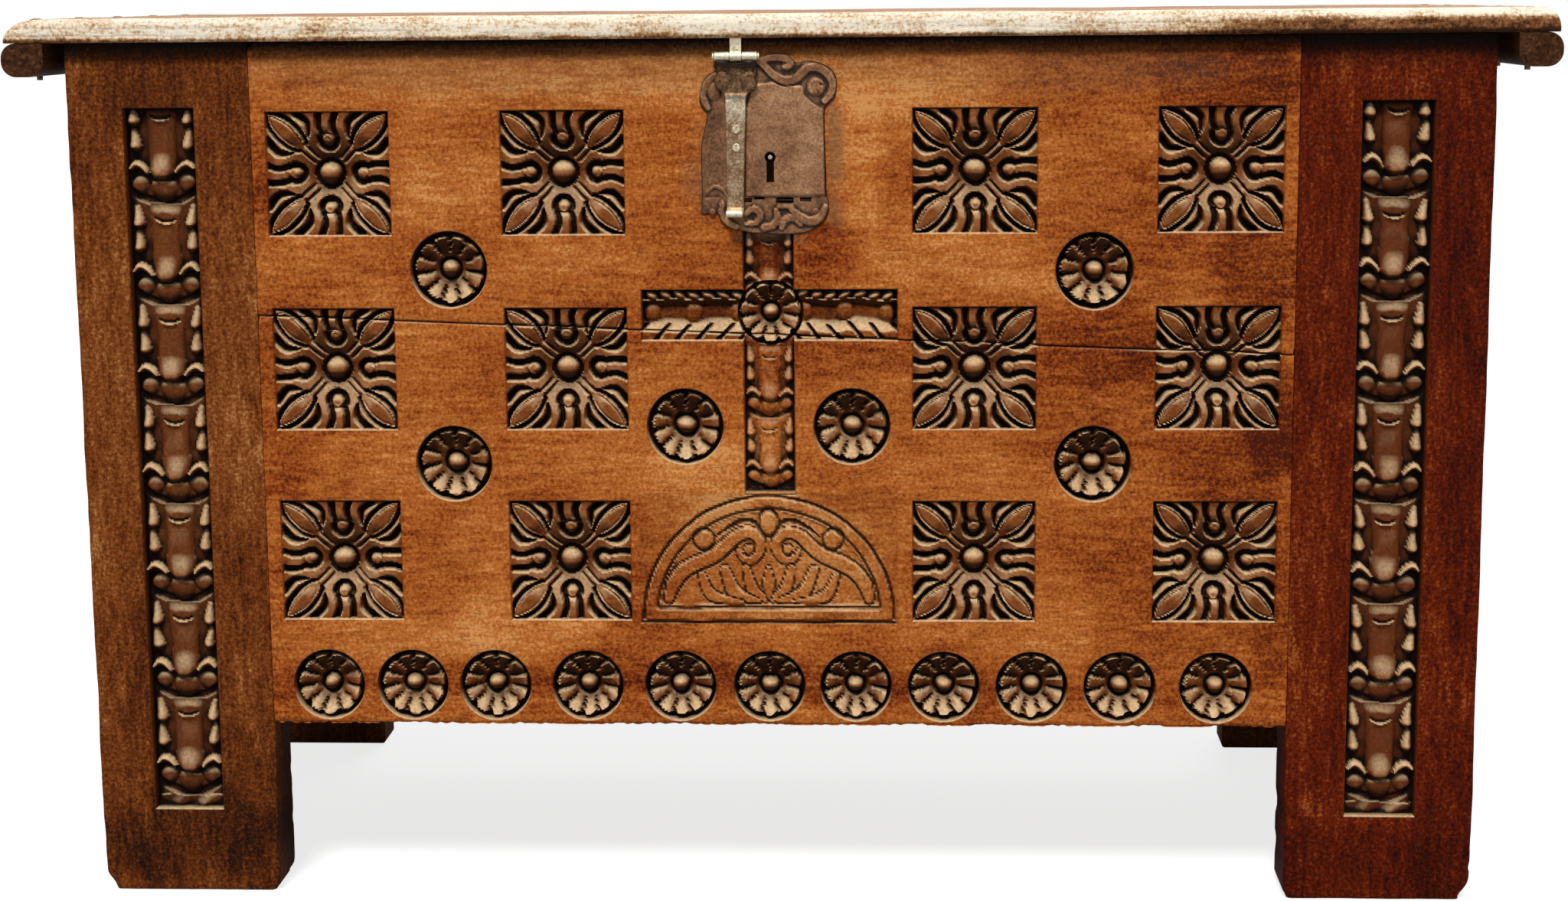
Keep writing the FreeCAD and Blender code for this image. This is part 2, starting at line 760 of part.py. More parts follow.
def make_lid(nails):
    """The two lid boards and the cleats under their ends."""
    cutters = list(nails)
    for x in hinge_places().values():
        cutters.append(barrel_room(x))
        half = hinge_strap_width / 2
        cutters.append(block(x - half, x + half, hinge_axis_y - hinge_strap_length, hinge_axis_y,
                             case_height, case_height + hinge_thickness))
    half = hasp_strap_width / 2
    cutters.append(block(hasp_x - half, hasp_x + half, hasp_pin_y - hasp_thickness,
                         hasp_strap_end(), case_height, case_height + hasp_strap_thickness))
    split = lid_front + lid_front_board_depth
    gap = seam_gap / 2
    keep("lid_board_front", [lid_board(lid_front, split - gap, cutters)])
    keep("lid_board_rear", [lid_board(split + gap, lid_back, cutters)])
    for name, side in (("left", -1), ("right", 1)):
        outer = side * (lid_length / 2 + cleat_end_overhang)
        inner = outer - side * cleat_width
        cleat = block(*sorted((inner, outer)), lid_front + cleat_setback,
                      lid_back - cleat_setback, case_height - cleat_height, case_height)
        rounded = []
        for edge in cleat.Edges:
            box = edge.BoundBox
            along = box.YLength > cleat_width
            outside = abs(box.XMin - outer) < edge_tolerance
            below = abs(box.ZMin - (case_height - cleat_height)) < edge_tolerance
            if along and (outside or below):
                rounded.append(edge)
        cleat = cleat.makeFillet(cleat_radius, rounded)
        keep("lid_cleat_" + name, [without(cleat, nails)])
        keep("cleat_nails_" + name, cleat_nails(side))


# ---------------------------------------------------------------- hinges

def make_hinges(strap_cutters, leaf_cutters):
    """Two strap hinges: a leaf let into the back, a strap let into the lid, and a pin."""
    axis_y = hinge_axis_y
    barrel = hinge_barrel_radius
    room = barrel + hinge_clearance
    middle = hinge_middle_barrel / 2
    half = hinge_width / 2
    for name, x in hinge_places().items():
        leaf = block(x - half, x + half, case_back - hinge_thickness, case_back,
                     case_height - hinge_leaf_height, case_height)
        knuckles = rod(x - half, axis_y, case_height, barrel, hinge_width, (1, 0, 0))
        gap = rod(x - middle - hinge_barrel_gap, axis_y, case_height, room,
                  hinge_middle_barrel + 2 * hinge_barrel_gap, (1, 0, 0))
        bore = rod(x - half, axis_y, case_height, hinge_pin_radius, hinge_width, (1, 0, 0))
        above = block(x - half, x + half, case_back - hinge_thickness, axis_y - barrel / 2,
                      case_height, case_height + barrel)
        leaf = without(joined([leaf, knuckles.cut(above)]), [gap, bore] + leaf_cutters)
        keep("hinge_leaf_" + name, [leaf])
        width = hinge_strap_width / 2
        strap = block(x - width, x + width, axis_y - hinge_strap_length, axis_y - room,
                      case_height, case_height + hinge_thickness)
        neck = block(x - middle, x + middle, axis_y - room, axis_y,
                     case_height, case_height + hinge_thickness)
        eye = rod(x - middle, axis_y, case_height, barrel, hinge_middle_barrel, (1, 0, 0))
        bore = rod(x - middle, axis_y, case_height, hinge_pin_radius + hinge_running_clearance,
                   hinge_middle_barrel, (1, 0, 0))
        keep("hinge_strap_" + name, [without(joined([strap, neck, eye]), [bore] + strap_cutters)])
        keep("hinge_pin_" + name, [rod(x - half, axis_y, case_height, hinge_pin_radius,
                                       hinge_width, (1, 0, 0))])


# ---------------------------------------------------------------- lock

def plate_nails():
    """Domed nails through the corners of the lock plate, beside the lock, into the board."""
    nails = []
    for x in (-plate_left + plate_nail_inset, plate_right - plate_nail_inset):
        for z in (plate_bottom + plate_nail_inset, plate_top - plate_nail_inset):
            nails.append(nail(x, plate_front, z, (0, 1, 0), plate_nail_length, plate_nail_radius,
                              plate_nail_head_radius, plate_nail_head_height))
    return nails


def staple_slot():
    """The slot in the plate for the staple, with room below for the swing of its end."""
    half = staple_section / 2 + staple_slot_clearance
    outside = staple_eye_height / 2 + staple_section + staple_slot_clearance
    return block(hasp_x - half, hasp_x + half, panel_front - cut_margin, case_front + cut_margin,
                 bolt_height - outside - staple_swing_room, bolt_height + outside)


def keyhole():
    """A round hole with a slot below it."""
    start = panel_front - cut_margin
    end = case_front + cut_margin
    hole = rod(keyhole_x, start, keyhole_height, keyhole_radius, end - start, (0, 1, 0))
    half = keyhole_slot_width / 2
    slot = block(keyhole_x - half, keyhole_x + half, start, end,
                 keyhole_height - keyhole_slot_depth, keyhole_height)
    return joined([hole, slot])


def make_lock_plate(nails):
    """The plate with its raised panel and the round scroll ends along its outline."""
    low, high = plate_bottom, plate_top
    shapes = [block(-plate_left, plate_right, plate_front, case_front, low, high)]
    shapes.append(block(-panel_left, plate_right, panel_front, plate_front, panel_bottom,
                        panel_top))
    corners = ((-1, plate_left, high, plate_top_left_scrolls),
               (1, plate_right, high, plate_top_right_scrolls),
               (-1, plate_left, low, plate_bottom_left_scrolls),
               (1, plate_right, low, plate_bottom_right_scrolls))
    for side, reach, edge, scrolls in corners:
        for inset, rise, radius in scrolls:
            shapes.append(rod(side * (reach - inset), plate_front, edge + rise, radius,
                              plate_thickness, (0, 1, 0)))
    keep("lock_plate", [without(joined(shapes), [keyhole(), staple_slot()] + nails)])


def make_lock():
    """The lock in its pocket: case, drill pin, bolt with two guides, and its spring."""
    wall = lock_wall
    outer = block(-lock_left, lock_right, case_front, lock_back, lock_bottom, lock_top)
    inner = block(-lock_left + wall, lock_right - wall, case_front, lock_inside_back,
                  lock_bottom + wall, lock_top - wall)
    keep("lock_case", [outer.cut(inner)])
    pin_front = panel_front + drill_pin_setback
    keep("drill_pin", [rod(keyhole_x, pin_front, keyhole_height, drill_pin_radius,
                           lock_inside_back - pin_front, (0, 1, 0))])
    half = bolt_section_height / 2
    y0, y1 = bolt_y0, bolt_y1
    bolt = block(-bolt_nose, bolt_tail, y0, y1, bolt_height - half, bolt_height + half)
    notch = block(keyhole_x - bolt_notch_width / 2, keyhole_x + bolt_notch_width / 2, y0, y1,
                  bolt_height - half, bolt_height - half + bolt_notch_depth)
    keep("lock_bolt", [bolt.cut(notch)])
    room = bolt_clearance
    window = block(-lock_left, lock_right, y0 - room, y1 + room,
                   bolt_height - half - room, bolt_height + half + room)
    guides = []
    for x in (-bolt_nose + guide_width, bolt_tail - bolt_travel - 2 * guide_width):
        solid = block(x, x + guide_width, y0 - guide_wall, lock_inside_back,
                      bolt_height - half - guide_wall, bolt_height + half + guide_wall)
        guides.append(solid.cut(window))
    keep("bolt_guides", guides)
    fixed_z = lock_top - wall
    touch_z = bolt_height + half + spring_gap
    fixed_x = lock_right - wall - guide_wall
    touch_x = keyhole_x + bolt_notch_width / 2
    thick = spring_thickness
    profile = [(fixed_x, fixed_z), (fixed_x - 2 * guide_wall, fixed_z), (touch_x, touch_z + thick),
               (touch_x, touch_z), (fixed_x, fixed_z - thick)]
    middle = (y0 + y1) / 2
    keep("bolt_spring", [prism_y(profile, middle - spring_width / 2, middle + spring_width / 2)])


# ---------------------------------------------------------------- hasp

def make_hasp(strap_cutters):
    """The strap and eye on the lid, the pin, the hasp with its finger lip, and the staple."""
    half_eye = hasp_eye_width / 2
    half_head = hasp_head_width / 2
    half_bar = hasp_width / 2
    half_strap = hasp_strap_width / 2
    z = hasp_pin_height
    y = hasp_pin_y
    web = hasp_thickness / 2
    strap = block(hasp_x - half_strap, hasp_x + half_strap, y - web, hasp_strap_end(),
                  case_height, case_height + hasp_strap_thickness)
    tab = block(hasp_x - half_eye, hasp_x + half_eye, y - web, y + web, z, case_height)
    eye = rod(hasp_x - half_eye, y, z, hasp_eye_radius, hasp_eye_width, (1, 0, 0))
    bore = rod(hasp_x - half_eye, y, z, hasp_pin_radius, hasp_eye_width, (1, 0, 0))
    keep("hasp_hinge_strap", [without(joined([strap, tab, eye]), [bore] + strap_cutters)])
    ends = hasp_eye_gap + hasp_pin_head_length
    pin = rod(hasp_x - half_head - ends, y, z, hasp_pin_radius, 2 * (half_head + ends), (1, 0, 0))
    heads = []
    for x in (hasp_x - half_head - ends, hasp_x + half_head + hasp_eye_gap):
        heads.append(rod(x, y, z, hasp_pin_head_radius, hasp_pin_head_length, (1, 0, 0)))
    keep("hasp_pin", [joined([pin] + heads)])

    head_bottom = z - hasp_head_height
    neck = (half_head - half_bar) / 2
    outline = [(half_head, z), (half_head, head_bottom + neck * 2), (half_bar, head_bottom),
               (half_bar, hasp_bottom), (-half_bar, hasp_bottom), (-half_bar, head_bottom),
               (-half_head, head_bottom + neck * 2), (-half_head, z)]
    bar = prism_y([(hasp_x + px, pz) for px, pz in outline], hasp_front, hasp_back)
    barrel = rod(hasp_x - half_head, y, z, hasp_barrel_radius, hasp_head_width, (1, 0, 0))
    lip = block(hasp_x - half_bar, hasp_x + half_bar, hasp_front - hasp_lip_length, hasp_back,
                hasp_bottom - hasp_thickness, hasp_bottom)
    curl = rod(hasp_x - half_bar, hasp_front - hasp_lip_length, hasp_bottom - hasp_lip_drop / 2,
               hasp_lip_drop / 2, hasp_width, (1, 0, 0))
    room = hasp_eye_radius + hasp_eye_gap
    eye_room = rod(hasp_x - half_eye - hasp_eye_gap, y, z, room,
                   hasp_eye_width + 2 * hasp_eye_gap, (1, 0, 0))
    above = block(hasp_x - half_eye - hasp_eye_gap, hasp_x + half_eye + hasp_eye_gap,
                  hasp_front, hasp_back, z - room, z + room)
    pin_bore = rod(hasp_x - half_head, y, z, hasp_pin_radius + hasp_running_clearance,
                   hasp_head_width, (1, 0, 0))
    tails = staple_tails()
    keep("hasp_bar", [without(joined([bar, barrel, lip, curl]),
                              [eye_room, above, pin_bore] + tails)])
    keep("hasp_staple", [make_staple(tails)])


def staple_tails():
    """The staple's two ends where they pass through the hasp."""
    half = staple_section / 2
    tails = []
    for side in (-1, 1):
        z = bolt_height + side * (staple_eye_height / 2 + half)
        tails.append(block(hasp_x - half, hasp_x + half, hasp_front, hasp_back,
                           z - half, z + half))
    return tails


def make_staple(tails):
    """A square loop behind the hasp, riveted over in front of it."""
    half = staple_section / 2
    inside = staple_eye_height / 2
    outside = inside + staple_section
    loop = block(hasp_x - half, hasp_x + half, hasp_back, staple_eye_end + staple_section,
                 bolt_height - outside, bolt_height + outside)
    eye = block(hasp_x - half, hasp_x + half, hasp_back, staple_eye_end,
                bolt_height - inside, bolt_height + inside)
    rivets = []
    for side in (-1, 1):
        z = bolt_height + side * (inside + half)
        rivets.append(rod(hasp_x, hasp_front - staple_rivet_height, z, staple_section,
                          staple_rivet_height, (0, 1, 0)))
    return joined([loop.cut(eye)] + tails + rivets)


# ---------------------------------------------------------------- build

def make_parts():
    """Build every node."""
    pegs = {"front": front_pegs(), "rear": rear_pegs(), "end": end_pegs()}
    all_pegs = pegs["front"] + pegs["rear"] + pegs["end"]
    for wall, shapes in pegs.items():
        keep(wall + "_joint_pegs", shapes)
    in_ledgers = ledger_nails()
    keep("ledger_nails", in_ledgers)
    in_plate = plate_nails()
    keep("lock_plate_nails", in_plate)
    in_leaves = leaf_nails()
    keep("hinge_leaf_nails", in_leaves)
    in_straps = strap_nails()
    keep("hinge_strap_nails", in_straps)
    in_hasp_strap = hasp_nails()
    keep("hasp_hinge_nails", in_hasp_strap)

    make_stiles(all_pegs)
    board_cutters = all_pegs + in_ledgers + in_plate + in_leaves
    make_long_boards(board_cutters, board_carvings())
    make_end_boards(all_pegs + in_ledgers)
    make_floor(in_ledgers)
    make_lid(cleat_nails(-1) + cleat_nails(1) + in_straps + in_hasp_strap)
    make_hinges(in_straps, in_leaves)
    make_lock_plate(in_plate)
    make_lock()
    make_hasp(in_hasp_strap)


make_parts()
os.makedirs("parts", exist_ok=True)
for name, shape in parts.items():
    shape.exportStep("parts/%s.step" % name)
print(len(parts), "nodes")
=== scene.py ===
# %% [markdown]
# # An oak coffer chest
# The chest stands on its four stiles. Horizontal boards fill the sides between them, and the front is
# carved with squares, roses, a cross, a half-round panel and two hanging chains of husks. The lid
# turns at the back on two strap hinges, and an iron hasp hangs from its front edge over the lock.
# The measured model is the frame: it comes in first, and everything made here sits in its place.

import json
import math
from functools import partial

import bmesh
import bpy
import numpy as np
from mathutils import Matrix, Vector
from mathutils.geometry import delaunay_2d_cdt

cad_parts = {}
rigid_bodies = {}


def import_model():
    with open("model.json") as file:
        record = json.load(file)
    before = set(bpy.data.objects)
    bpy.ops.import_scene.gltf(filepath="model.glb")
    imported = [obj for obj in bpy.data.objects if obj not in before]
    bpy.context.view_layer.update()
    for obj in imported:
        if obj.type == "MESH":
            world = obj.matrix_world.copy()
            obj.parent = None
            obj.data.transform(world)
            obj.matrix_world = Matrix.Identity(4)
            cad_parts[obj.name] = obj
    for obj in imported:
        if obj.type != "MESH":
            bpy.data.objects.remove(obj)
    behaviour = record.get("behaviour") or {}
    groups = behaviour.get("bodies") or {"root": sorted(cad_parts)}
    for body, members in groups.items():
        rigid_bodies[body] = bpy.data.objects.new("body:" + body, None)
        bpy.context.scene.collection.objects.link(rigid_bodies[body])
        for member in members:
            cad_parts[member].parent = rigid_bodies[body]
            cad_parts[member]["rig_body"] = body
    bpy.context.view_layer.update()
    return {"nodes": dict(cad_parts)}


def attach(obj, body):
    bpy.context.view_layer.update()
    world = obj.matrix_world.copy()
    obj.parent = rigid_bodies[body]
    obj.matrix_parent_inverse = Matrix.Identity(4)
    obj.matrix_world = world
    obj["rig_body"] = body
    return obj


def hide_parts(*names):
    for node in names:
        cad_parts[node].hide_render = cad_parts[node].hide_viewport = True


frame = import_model()

# %% [markdown]
# ## The camera
# A chest is best shown square on, from about the height of its lid. Blender's camera looks along its
# own -Z axis, so its matrix is built from where it stands and from three angles. That is easier to
# check than a rotation found by eye.

# %% Stand the camera in front of the lock
def placed(name, data):
    """A new object in the scene that shows this camera, mesh or lamp."""
    made = bpy.data.objects.new(name, data)
    bpy.context.scene.collection.objects.link(made)
    return made


camera_place = Vector((0.1428, -2.9637, 0.9116))
yaw, pitch, roll = (math.radians(angle) for angle in (-2.89, 9.56, -0.49))
ahead = Vector((math.sin(yaw) * math.cos(pitch), math.cos(yaw) * math.cos(pitch), -math.sin(pitch)))
sideways = Vector((math.cos(yaw), -math.sin(yaw), 0))
upright = sideways.cross(ahead)
right = math.cos(roll) * sideways + math.sin(roll) * upright
up = -math.sin(roll) * sideways + math.cos(roll) * upright
camera = placed("camera", bpy.data.cameras.new("camera"))
camera.data.lens, camera.data.sensor_width = 62.09, 36
camera.matrix_world = Matrix.Translation(camera_place) @ Matrix((right, up, -ahead)).transposed().to_4x4()
bpy.context.scene.camera = camera
print("camera", round((camera_place - Vector((0, -0.304, 0.45))).length, 2), "m from the front")

# %% [markdown]
# ## Tools of the bench
# A few helpers are used all through: a smooth step, a smooth curve, a slow wave, a colour read from a
# hex code, and one way to add a material node. Measures are in millimetres until the last moment,
# because that is how a joiner thinks of them.

# %% A smooth step, a curve and a wave
def ease(low, high, value):
    """0 at low and 1 at high, with 3t2 - 2t3 between them."""
    t = np.clip((value - low) / (high - low), 0, 1)
    return t * t * (3 - 2 * t)


def curve_through(points, count):
    """Points on the Catmull-Rom curve: its slope at a point is half the step between the neighbours."""
    p = np.array(points, float)
    p = np.vstack([2 * p[0] - p[1], p, 2 * p[-1] - p[-2]])
    along = np.linspace(0, len(p) - 3 - 1e-6, count)
    i = along.astype(int)
    t = (along - i)[:, None]
    a, b, c, d = p[i], p[i + 1], p[i + 2], p[i + 3]
    return 0.5 * (2 * b + (c - a) * t + (2 * a - 5 * b + 4 * c - d) * t**2 + (3 * b - a - 3 * c + d) * t**3)


def waver(x, z, size, seed):
    """A gentle wave between about -1 and 1: four sines of that size in millimetres, turned at random."""
    total = 0
    for turn, phase, stretch in np.random.default_rng(seed).uniform(0, 1, (4, 3)):
        angle, length = 2 * np.pi * turn, size * (0.6 + 0.9 * stretch)
        total = total + np.sin((x * np.cos(angle) + z * np.sin(angle)) * 2 * np.pi / length + 2 * np.pi * phase)
    return total / 3


print("halfway up the step:", ease(0, 1, 0.5), " a wave:", waver(np.arange(0, 60, 20.0), 0, 50, 1).round(2))

# %% Colours, and one way to add a node
def linear(code):
    """The linear colour of an sRGB hex code: ((c + 0.055) / 1.055) ** 2.4 above the toe, c / 12.92 below."""
    share = [int(code[i : i + 2], 16) / 255 for i in (1, 3, 5)]
    return tuple(c / 12.92 if c <= 0.04045 else ((c + 0.055) / 1.055) ** 2.4 for c in share) + (1,)


def add(tree, kind, *inputs, out=None, stops="", **settings):
    """Adds one shader node and hands back one output, the first unless named. Inputs come in the order of
    its sockets or in one dictionary by name, and an output given as an input is linked. Stops are hex
    codes, spaced evenly along a colour ramp."""
    node = tree.nodes.new("ShaderNode" + kind)
    for name, value in settings.items():
        setattr(node, name, value)
    codes = stops.split()
    for position, code in zip(np.linspace(0, 1, len(codes)), codes):
        stop = next((e for e in node.color_ramp.elements if e.position == position), None)
        (stop or node.color_ramp.elements.new(position)).color = linear(code)
    by_name = inputs[0] if inputs and isinstance(inputs[0], dict) else {}
    in_order = zip([socket for socket in node.inputs if socket.enabled], () if by_name else inputs)
    for socket, value in [(node.inputs[key], value) for key, value in by_name.items()] + list(in_order):
        if isinstance(value, bpy.types.NodeSocket):
            tree.links.new(value, socket)
        else:
            socket.default_value = value
    return node.outputs[out] if out else next((socket for socket in node.outputs if socket.enabled), None)


def empty_tree(owner):
    """The node tree of a material or world, with nothing in it yet."""
    owner.use_nodes = True
    owner.node_tree.nodes.clear()
    return owner.node_tree


print("oak in linear light:", [round(c, 3) for c in linear("#a66337")[:3]])

# %% [markdown]
# ## Finishes
# Old oak is brown because its tannin darkens and because wax and smoke sink into it. The eye reads it
# at three sizes: smoky clouds a hand wide, fibres about 5 mm wide that run along the board, and open
# pores like short dark dashes, drawn 1.6 mm wide here because real ones are too fine to show. All are
# noise on Object coordinates, drawn out along the grain. Where a piece carries them, five attributes
# say how the surface was used, and where light and shade are painted on it: `hollow` is where dirt and
# wax stay and where shade is painted in, `crest` where hands and cloths rub, `carved` where the chisel
# cut, `grey` where iron stained it and, under the lid, painted shade, and `tone` is how much darker or
# lighter the board is there, in places with painted highlights and painted shade. In the carving, pale
# dust and a painted highlight lie on what faces up, and painted shade on what faces down. So dry a
# surface shines little, and its specular level is about a seventh of the usual.

# %% Oak in its several ages
def oak(name, stops, grain, rough=(0.45, 0.65), clouds=0.5):
    """Oak from its darkest colour to its palest, with fibres along that axis."""
    material = bpy.data.materials.new(name)
    tree = empty_tree(material)
    place = add(tree, "TexCoord", out="Object")
    along, broad = (
        add(tree, "Mapping", {"Vector": place, "Scale": [drawn if axis == grain else 1 for axis in "xyz"]})
        for drawn in (0.14, 0.35))
    cloud, fibre, pore, speck, scuff = (
        add(tree, "TexNoise", {"Vector": where, "Scale": scale, "Detail": detail, "Roughness": roughness})
        for where, scale, detail, roughness in ((broad, 9, 4, 0.55), (along, 190, 5, 0.6), (along, 620, 2, 0.5),
                                                (place, 300, 3, 0.7), (broad, 38, 7, 0.72)))
    tone, carved, crest, hollow, grey = (add(tree, "Attribute", attribute_name=mark, out="Fac")
                                         for mark in ("tone", "carved", "crest", "hollow", "grey"))
    # the level on the ramp: 0.5, plus each noise's distance from its middle times its strength
    strengths = ((cloud, 2.2 * clouds), (fibre, 0.8), (speck, 1.5))
    level = add(tree, "Math", tone, 0.5 - 0.5 * sum(strength for _, strength in strengths), operation="ADD")
    for noise, strength in strengths:
        level = add(tree, "Math", noise, strength, level, operation="MULTIPLY_ADD")
    # knocks and old polish: the level drops in some patches and rises in others
    level = add(tree, "Math", level, add(tree, "MapRange", scuff, 0.44, 0.36, 0, 0.16), operation="SUBTRACT")
    level = add(tree, "Math", level, add(tree, "MapRange", scuff, 0.57, 0.66, 0, 0.2), operation="ADD")
    # what lies on the wood, from the bottom up: soot in the pores, the iron's grey (under the lid it is
    # painted shade), the carving's stain, bare wood on crests, dust and a painted highlight on what faces
    # up, painted shade on what faces down, and dirt and painted shade in the hollows
    patch = add(tree, "MapRange", speck, 0.3, 0.62, 0.45, 0.9)
    facing = add(tree, "SeparateXYZ", add(tree, "TexCoord", out="Normal"), out="Z")
    # in the carving, what faces up gets pale dust and a painted highlight, what faces down painted shade
    cut = add(tree, "Math", carved, 2, operation="MULTIPLY", use_clamp=True)
    upward = add(tree, "Math", add(tree, "MapRange", facing, 0.08, 0.5, 0, 1), cut, operation="MULTIPLY")
    painted_shade_below = add(tree, "MapRange", facing, -0.02, -0.38, 0, 0.85)
    darkening = add(tree, "MapRange", speck, 0.3, 0.7, 1.1, 0.93)
    colour = add(tree, "ValToRGB", level, stops=stops, out="Color")
    open_pore = add(tree, "MapRange", pore, 0.37, 0.28, 0, 0.4)
    for share, times, layer in ((open_pore, 1, "#0e0502"), (grey, 0.7, "#6b6249"), (carved, 0.66, "#57290f"),
                                (crest, patch, "#9c643a"), (upward, patch, "#d8b88c"),
                                (painted_shade_below, cut, "#0e0502"), (hollow, darkening, "#0e0502")):
        share = add(tree, "Math", share, times, operation="MULTIPLY")
        colour = add(tree, "Mix", share, colour, linear(layer), data_type="RGBA")
    height = add(tree, "Math", add(tree, "MapRange", pore, 0.28, 0.38), fibre, operation="ADD")
    height = add(tree, "Math", speck, 0.9, height, operation="MULTIPLY_ADD")
    bump = add(tree, "Bump", {"Height": height, "Strength": 0.5, "Distance": 0.0006})
    roughness = add(tree, "MapRange", fibre, 0.3, 0.7, *rough)
    add(tree, "OutputMaterial", add(tree, "BsdfPrincipled", {
        "Base Color": colour, "IOR": 1.5, "Roughness": roughness, "Specular IOR Level": 0.07, "Normal": bump}))
    return material


aged, raw = "#241107 #452412 #62371b #80502c #a9784c", "#4b301c #73502d #916c46 #ad8a60 #c8a981"
front_oak = oak("waxed oak, orange brown", "#481606 #7e350c #a4561f #bd6f30 #d69455", "x")
left_oak = oak("waxed oak, smoked brown", "#1f0c04 #451e07 #6b330e #894d20 #b07846", "z", clouds=0.4)
right_oak = oak("waxed oak, smoked red brown", "#150301 #340901 #521401 #702606 #985422", "z", clouds=0.35)
lid_oak = oak("waxed oak, lid", "#3a2010 #74492a #9c6b42 #d6b791 #f6ead4", "x", clouds=0.35)
plain_oak = oak("aged oak, plain", aged, "x", (0.55, 0.75), 0.4)
end_oak = oak("aged oak, ends", aged, "y", (0.55, 0.75), 0.4)
upright_oak = oak("aged oak, uprights", aged, "z", (0.5, 0.7), 0.4)
inner_oak = oak("raw oak, inside", raw, "y", (0.7, 0.9), 0.4)
ledger_oak = oak("raw oak, ledgers", raw, "x", (0.7, 0.9), 0.4)
cleat_oak = oak("waxed oak, cleats", "#0c0502 #27140a #3f2412 #5a371e #86603d", "y", clouds=0.4)
print("oak finishes:", len([m for m in bpy.data.materials if "oak" in m.name]))

# %% [markdown]
# Wrought iron of this age isn't grey. It has a thin brown skin of oxide and old wax over hammered
# metal, and it shines only where hands and the lid rub it. So the metal's colour goes from near-black
# brown in the dents to grey on the crests, and the roughness follows the same pattern. The skin is
# part rust, so it is less metallic than bare iron. Hammer marks are about 6 mm across.

# %% Wrought iron under a brown skin
def iron(name, stops, rough, metallic):
    """Wrought iron from its darkest skin to its barest metal."""
    material = bpy.data.materials.new(name)
    tree = empty_tree(material)
    place = add(tree, "TexCoord", out="Object")
    cloud = add(tree, "TexNoise", {"Vector": place, "Scale": 60, "Detail": 5, "Roughness": 0.65})
    grit = add(tree, "TexNoise", {"Vector": place, "Scale": 420, "Detail": 3, "Roughness": 0.7})
    dent = add(tree, "TexVoronoi", {"Vector": place, "Scale": 160}, feature="SMOOTH_F1")
    tone, crest, hollow = (add(tree, "Attribute", attribute_name=mark, out="Fac")
                           for mark in ("tone", "crest", "hollow"))
    strengths = ((cloud, 0.8), (grit, 1.0))
    level = add(tree, "Math", tone, 0.5 - 0.5 * sum(strength for _, strength in strengths), operation="ADD")
    for noise, strength in (*strengths, (crest, 0.4)):
        level = add(tree, "Math", noise, strength, level, operation="MULTIPLY_ADD")
    colour = add(tree, "ValToRGB", level, stops=stops, out="Color")
    # dark oxide in the hollows, and painted shade where a piece marks it so
    darkening = add(tree, "Math", hollow, 0.9, operation="MULTIPLY")
    colour = add(tree, "Mix", darkening, colour, linear("#0e0704"), data_type="RGBA")
    height = add(tree, "Math", dent, 1.2, operation="MULTIPLY")
    height = add(tree, "Math", grit, 0.5, height, operation="MULTIPLY_ADD")
    bump = add(tree, "Bump", {"Height": height, "Strength": 0.45, "Distance": 0.0008})
    roughness = add(tree, "MapRange", grit, 0.3, 0.7, *rough)
    add(tree, "OutputMaterial", add(tree, "BsdfPrincipled", {
        "Base Color": colour, "Metallic": metallic, "Roughness": roughness, "Normal": bump}))
    return material


brown_iron = iron("wrought iron, brown skin", "#2a1a10 #583a24 #84593a #a67e58 #cdb08c", (0.45, 0.65), 0.6)
bare_iron = iron("wrought iron, rubbed bright", "#2c1c10 #6a4c32 #917252 #b9a78f #efe5c4", (0.34, 0.55), 0.8)
print("iron finishes:", brown_iron.name, "and", bare_iron.name)

# %% [markdown]
# ## Dressing the measured pieces
# A piece whose shape is already right could stay as it is and only get a finish, and pegs, guides and
# the cleats' nails do. The rest is made again further on, with the wear and carving that a measured
# model leaves out, but it is dressed too, so that no piece is ever without a finish.

# %% Give every measured piece its finish
for name, node in frame["nodes"].items():
    wooden = name.startswith(("front_", "rear_", "end_", "lid_", "floor_"))
    node.data.materials.clear()
    node.data.materials.append(plain_oak if wooden else bare_iron if name == "bolt_spring" else brown_iron)
print("dressed", len(frame["nodes"]), "pieces")

# %% [markdown]
# ## Carving as a height
# A carver lowers the ground and leaves the figure standing, so each ornament is a depth below the
# board's face, in millimetres, at every point (u, w) of its small square. Curved leaves and stems are
# ribs: the distance from a curve, over the half width the rib has there, gives a rounded section. That
# is quicker to judge and to change than modelling each leaf as its own mesh, and nothing comes apart.

# %% Ribs, domes and grooves
def reach(u, w, points, widths, count=9):
    """The distance from a curve through these points, over the half width that the rib has there."""
    line = curve_through(points, count)
    half = np.interp(np.linspace(0, 1, count), np.linspace(0, 1, len(widths)), widths)
    best = np.full(np.shape(u), 9.0)
    for (x0, y0), (x1, y1), h0, h1 in zip(line[:-1], line[1:], half[:-1], half[1:]):
        dx, dy = x1 - x0, y1 - y0
        t = np.clip(((u - x0) * dx + (w - y0) * dy) / (dx * dx + dy * dy), 0, 1)
        best = np.minimum(best, np.hypot(u - x0 - dx * t, w - y0 - dy * t) / (h0 + (h1 - h0) * t))
    return best


def rib(u, w, points, widths, count=9):
    """A round-backed rib along a curve: sqrt(1 - reach squared), and 0 outside it."""
    return np.sqrt(np.clip(1 - reach(u, w, points, widths, count) ** 2, 0, 1))


def dome(distance, radius):
    """Half a ball: sqrt(1 - (distance / radius) squared), and 0 outside it."""
    return np.sqrt(np.clip(1 - (distance / radius) ** 2, 0, 1))


def groove(ratio, floor=0.2):
    """1 on the line of a groove and 0 at its half width, with a flat floor that wide and rounded shoulders."""
    return 1 - ease(floor, 1.0, ratio)


def raised_by(depth, mound, base, rise):
    """The depth, but no deeper than the base less the rise wherever the mound is more than 0."""
    return np.where(mound > 0, np.minimum(depth, base - rise * mound), depth)


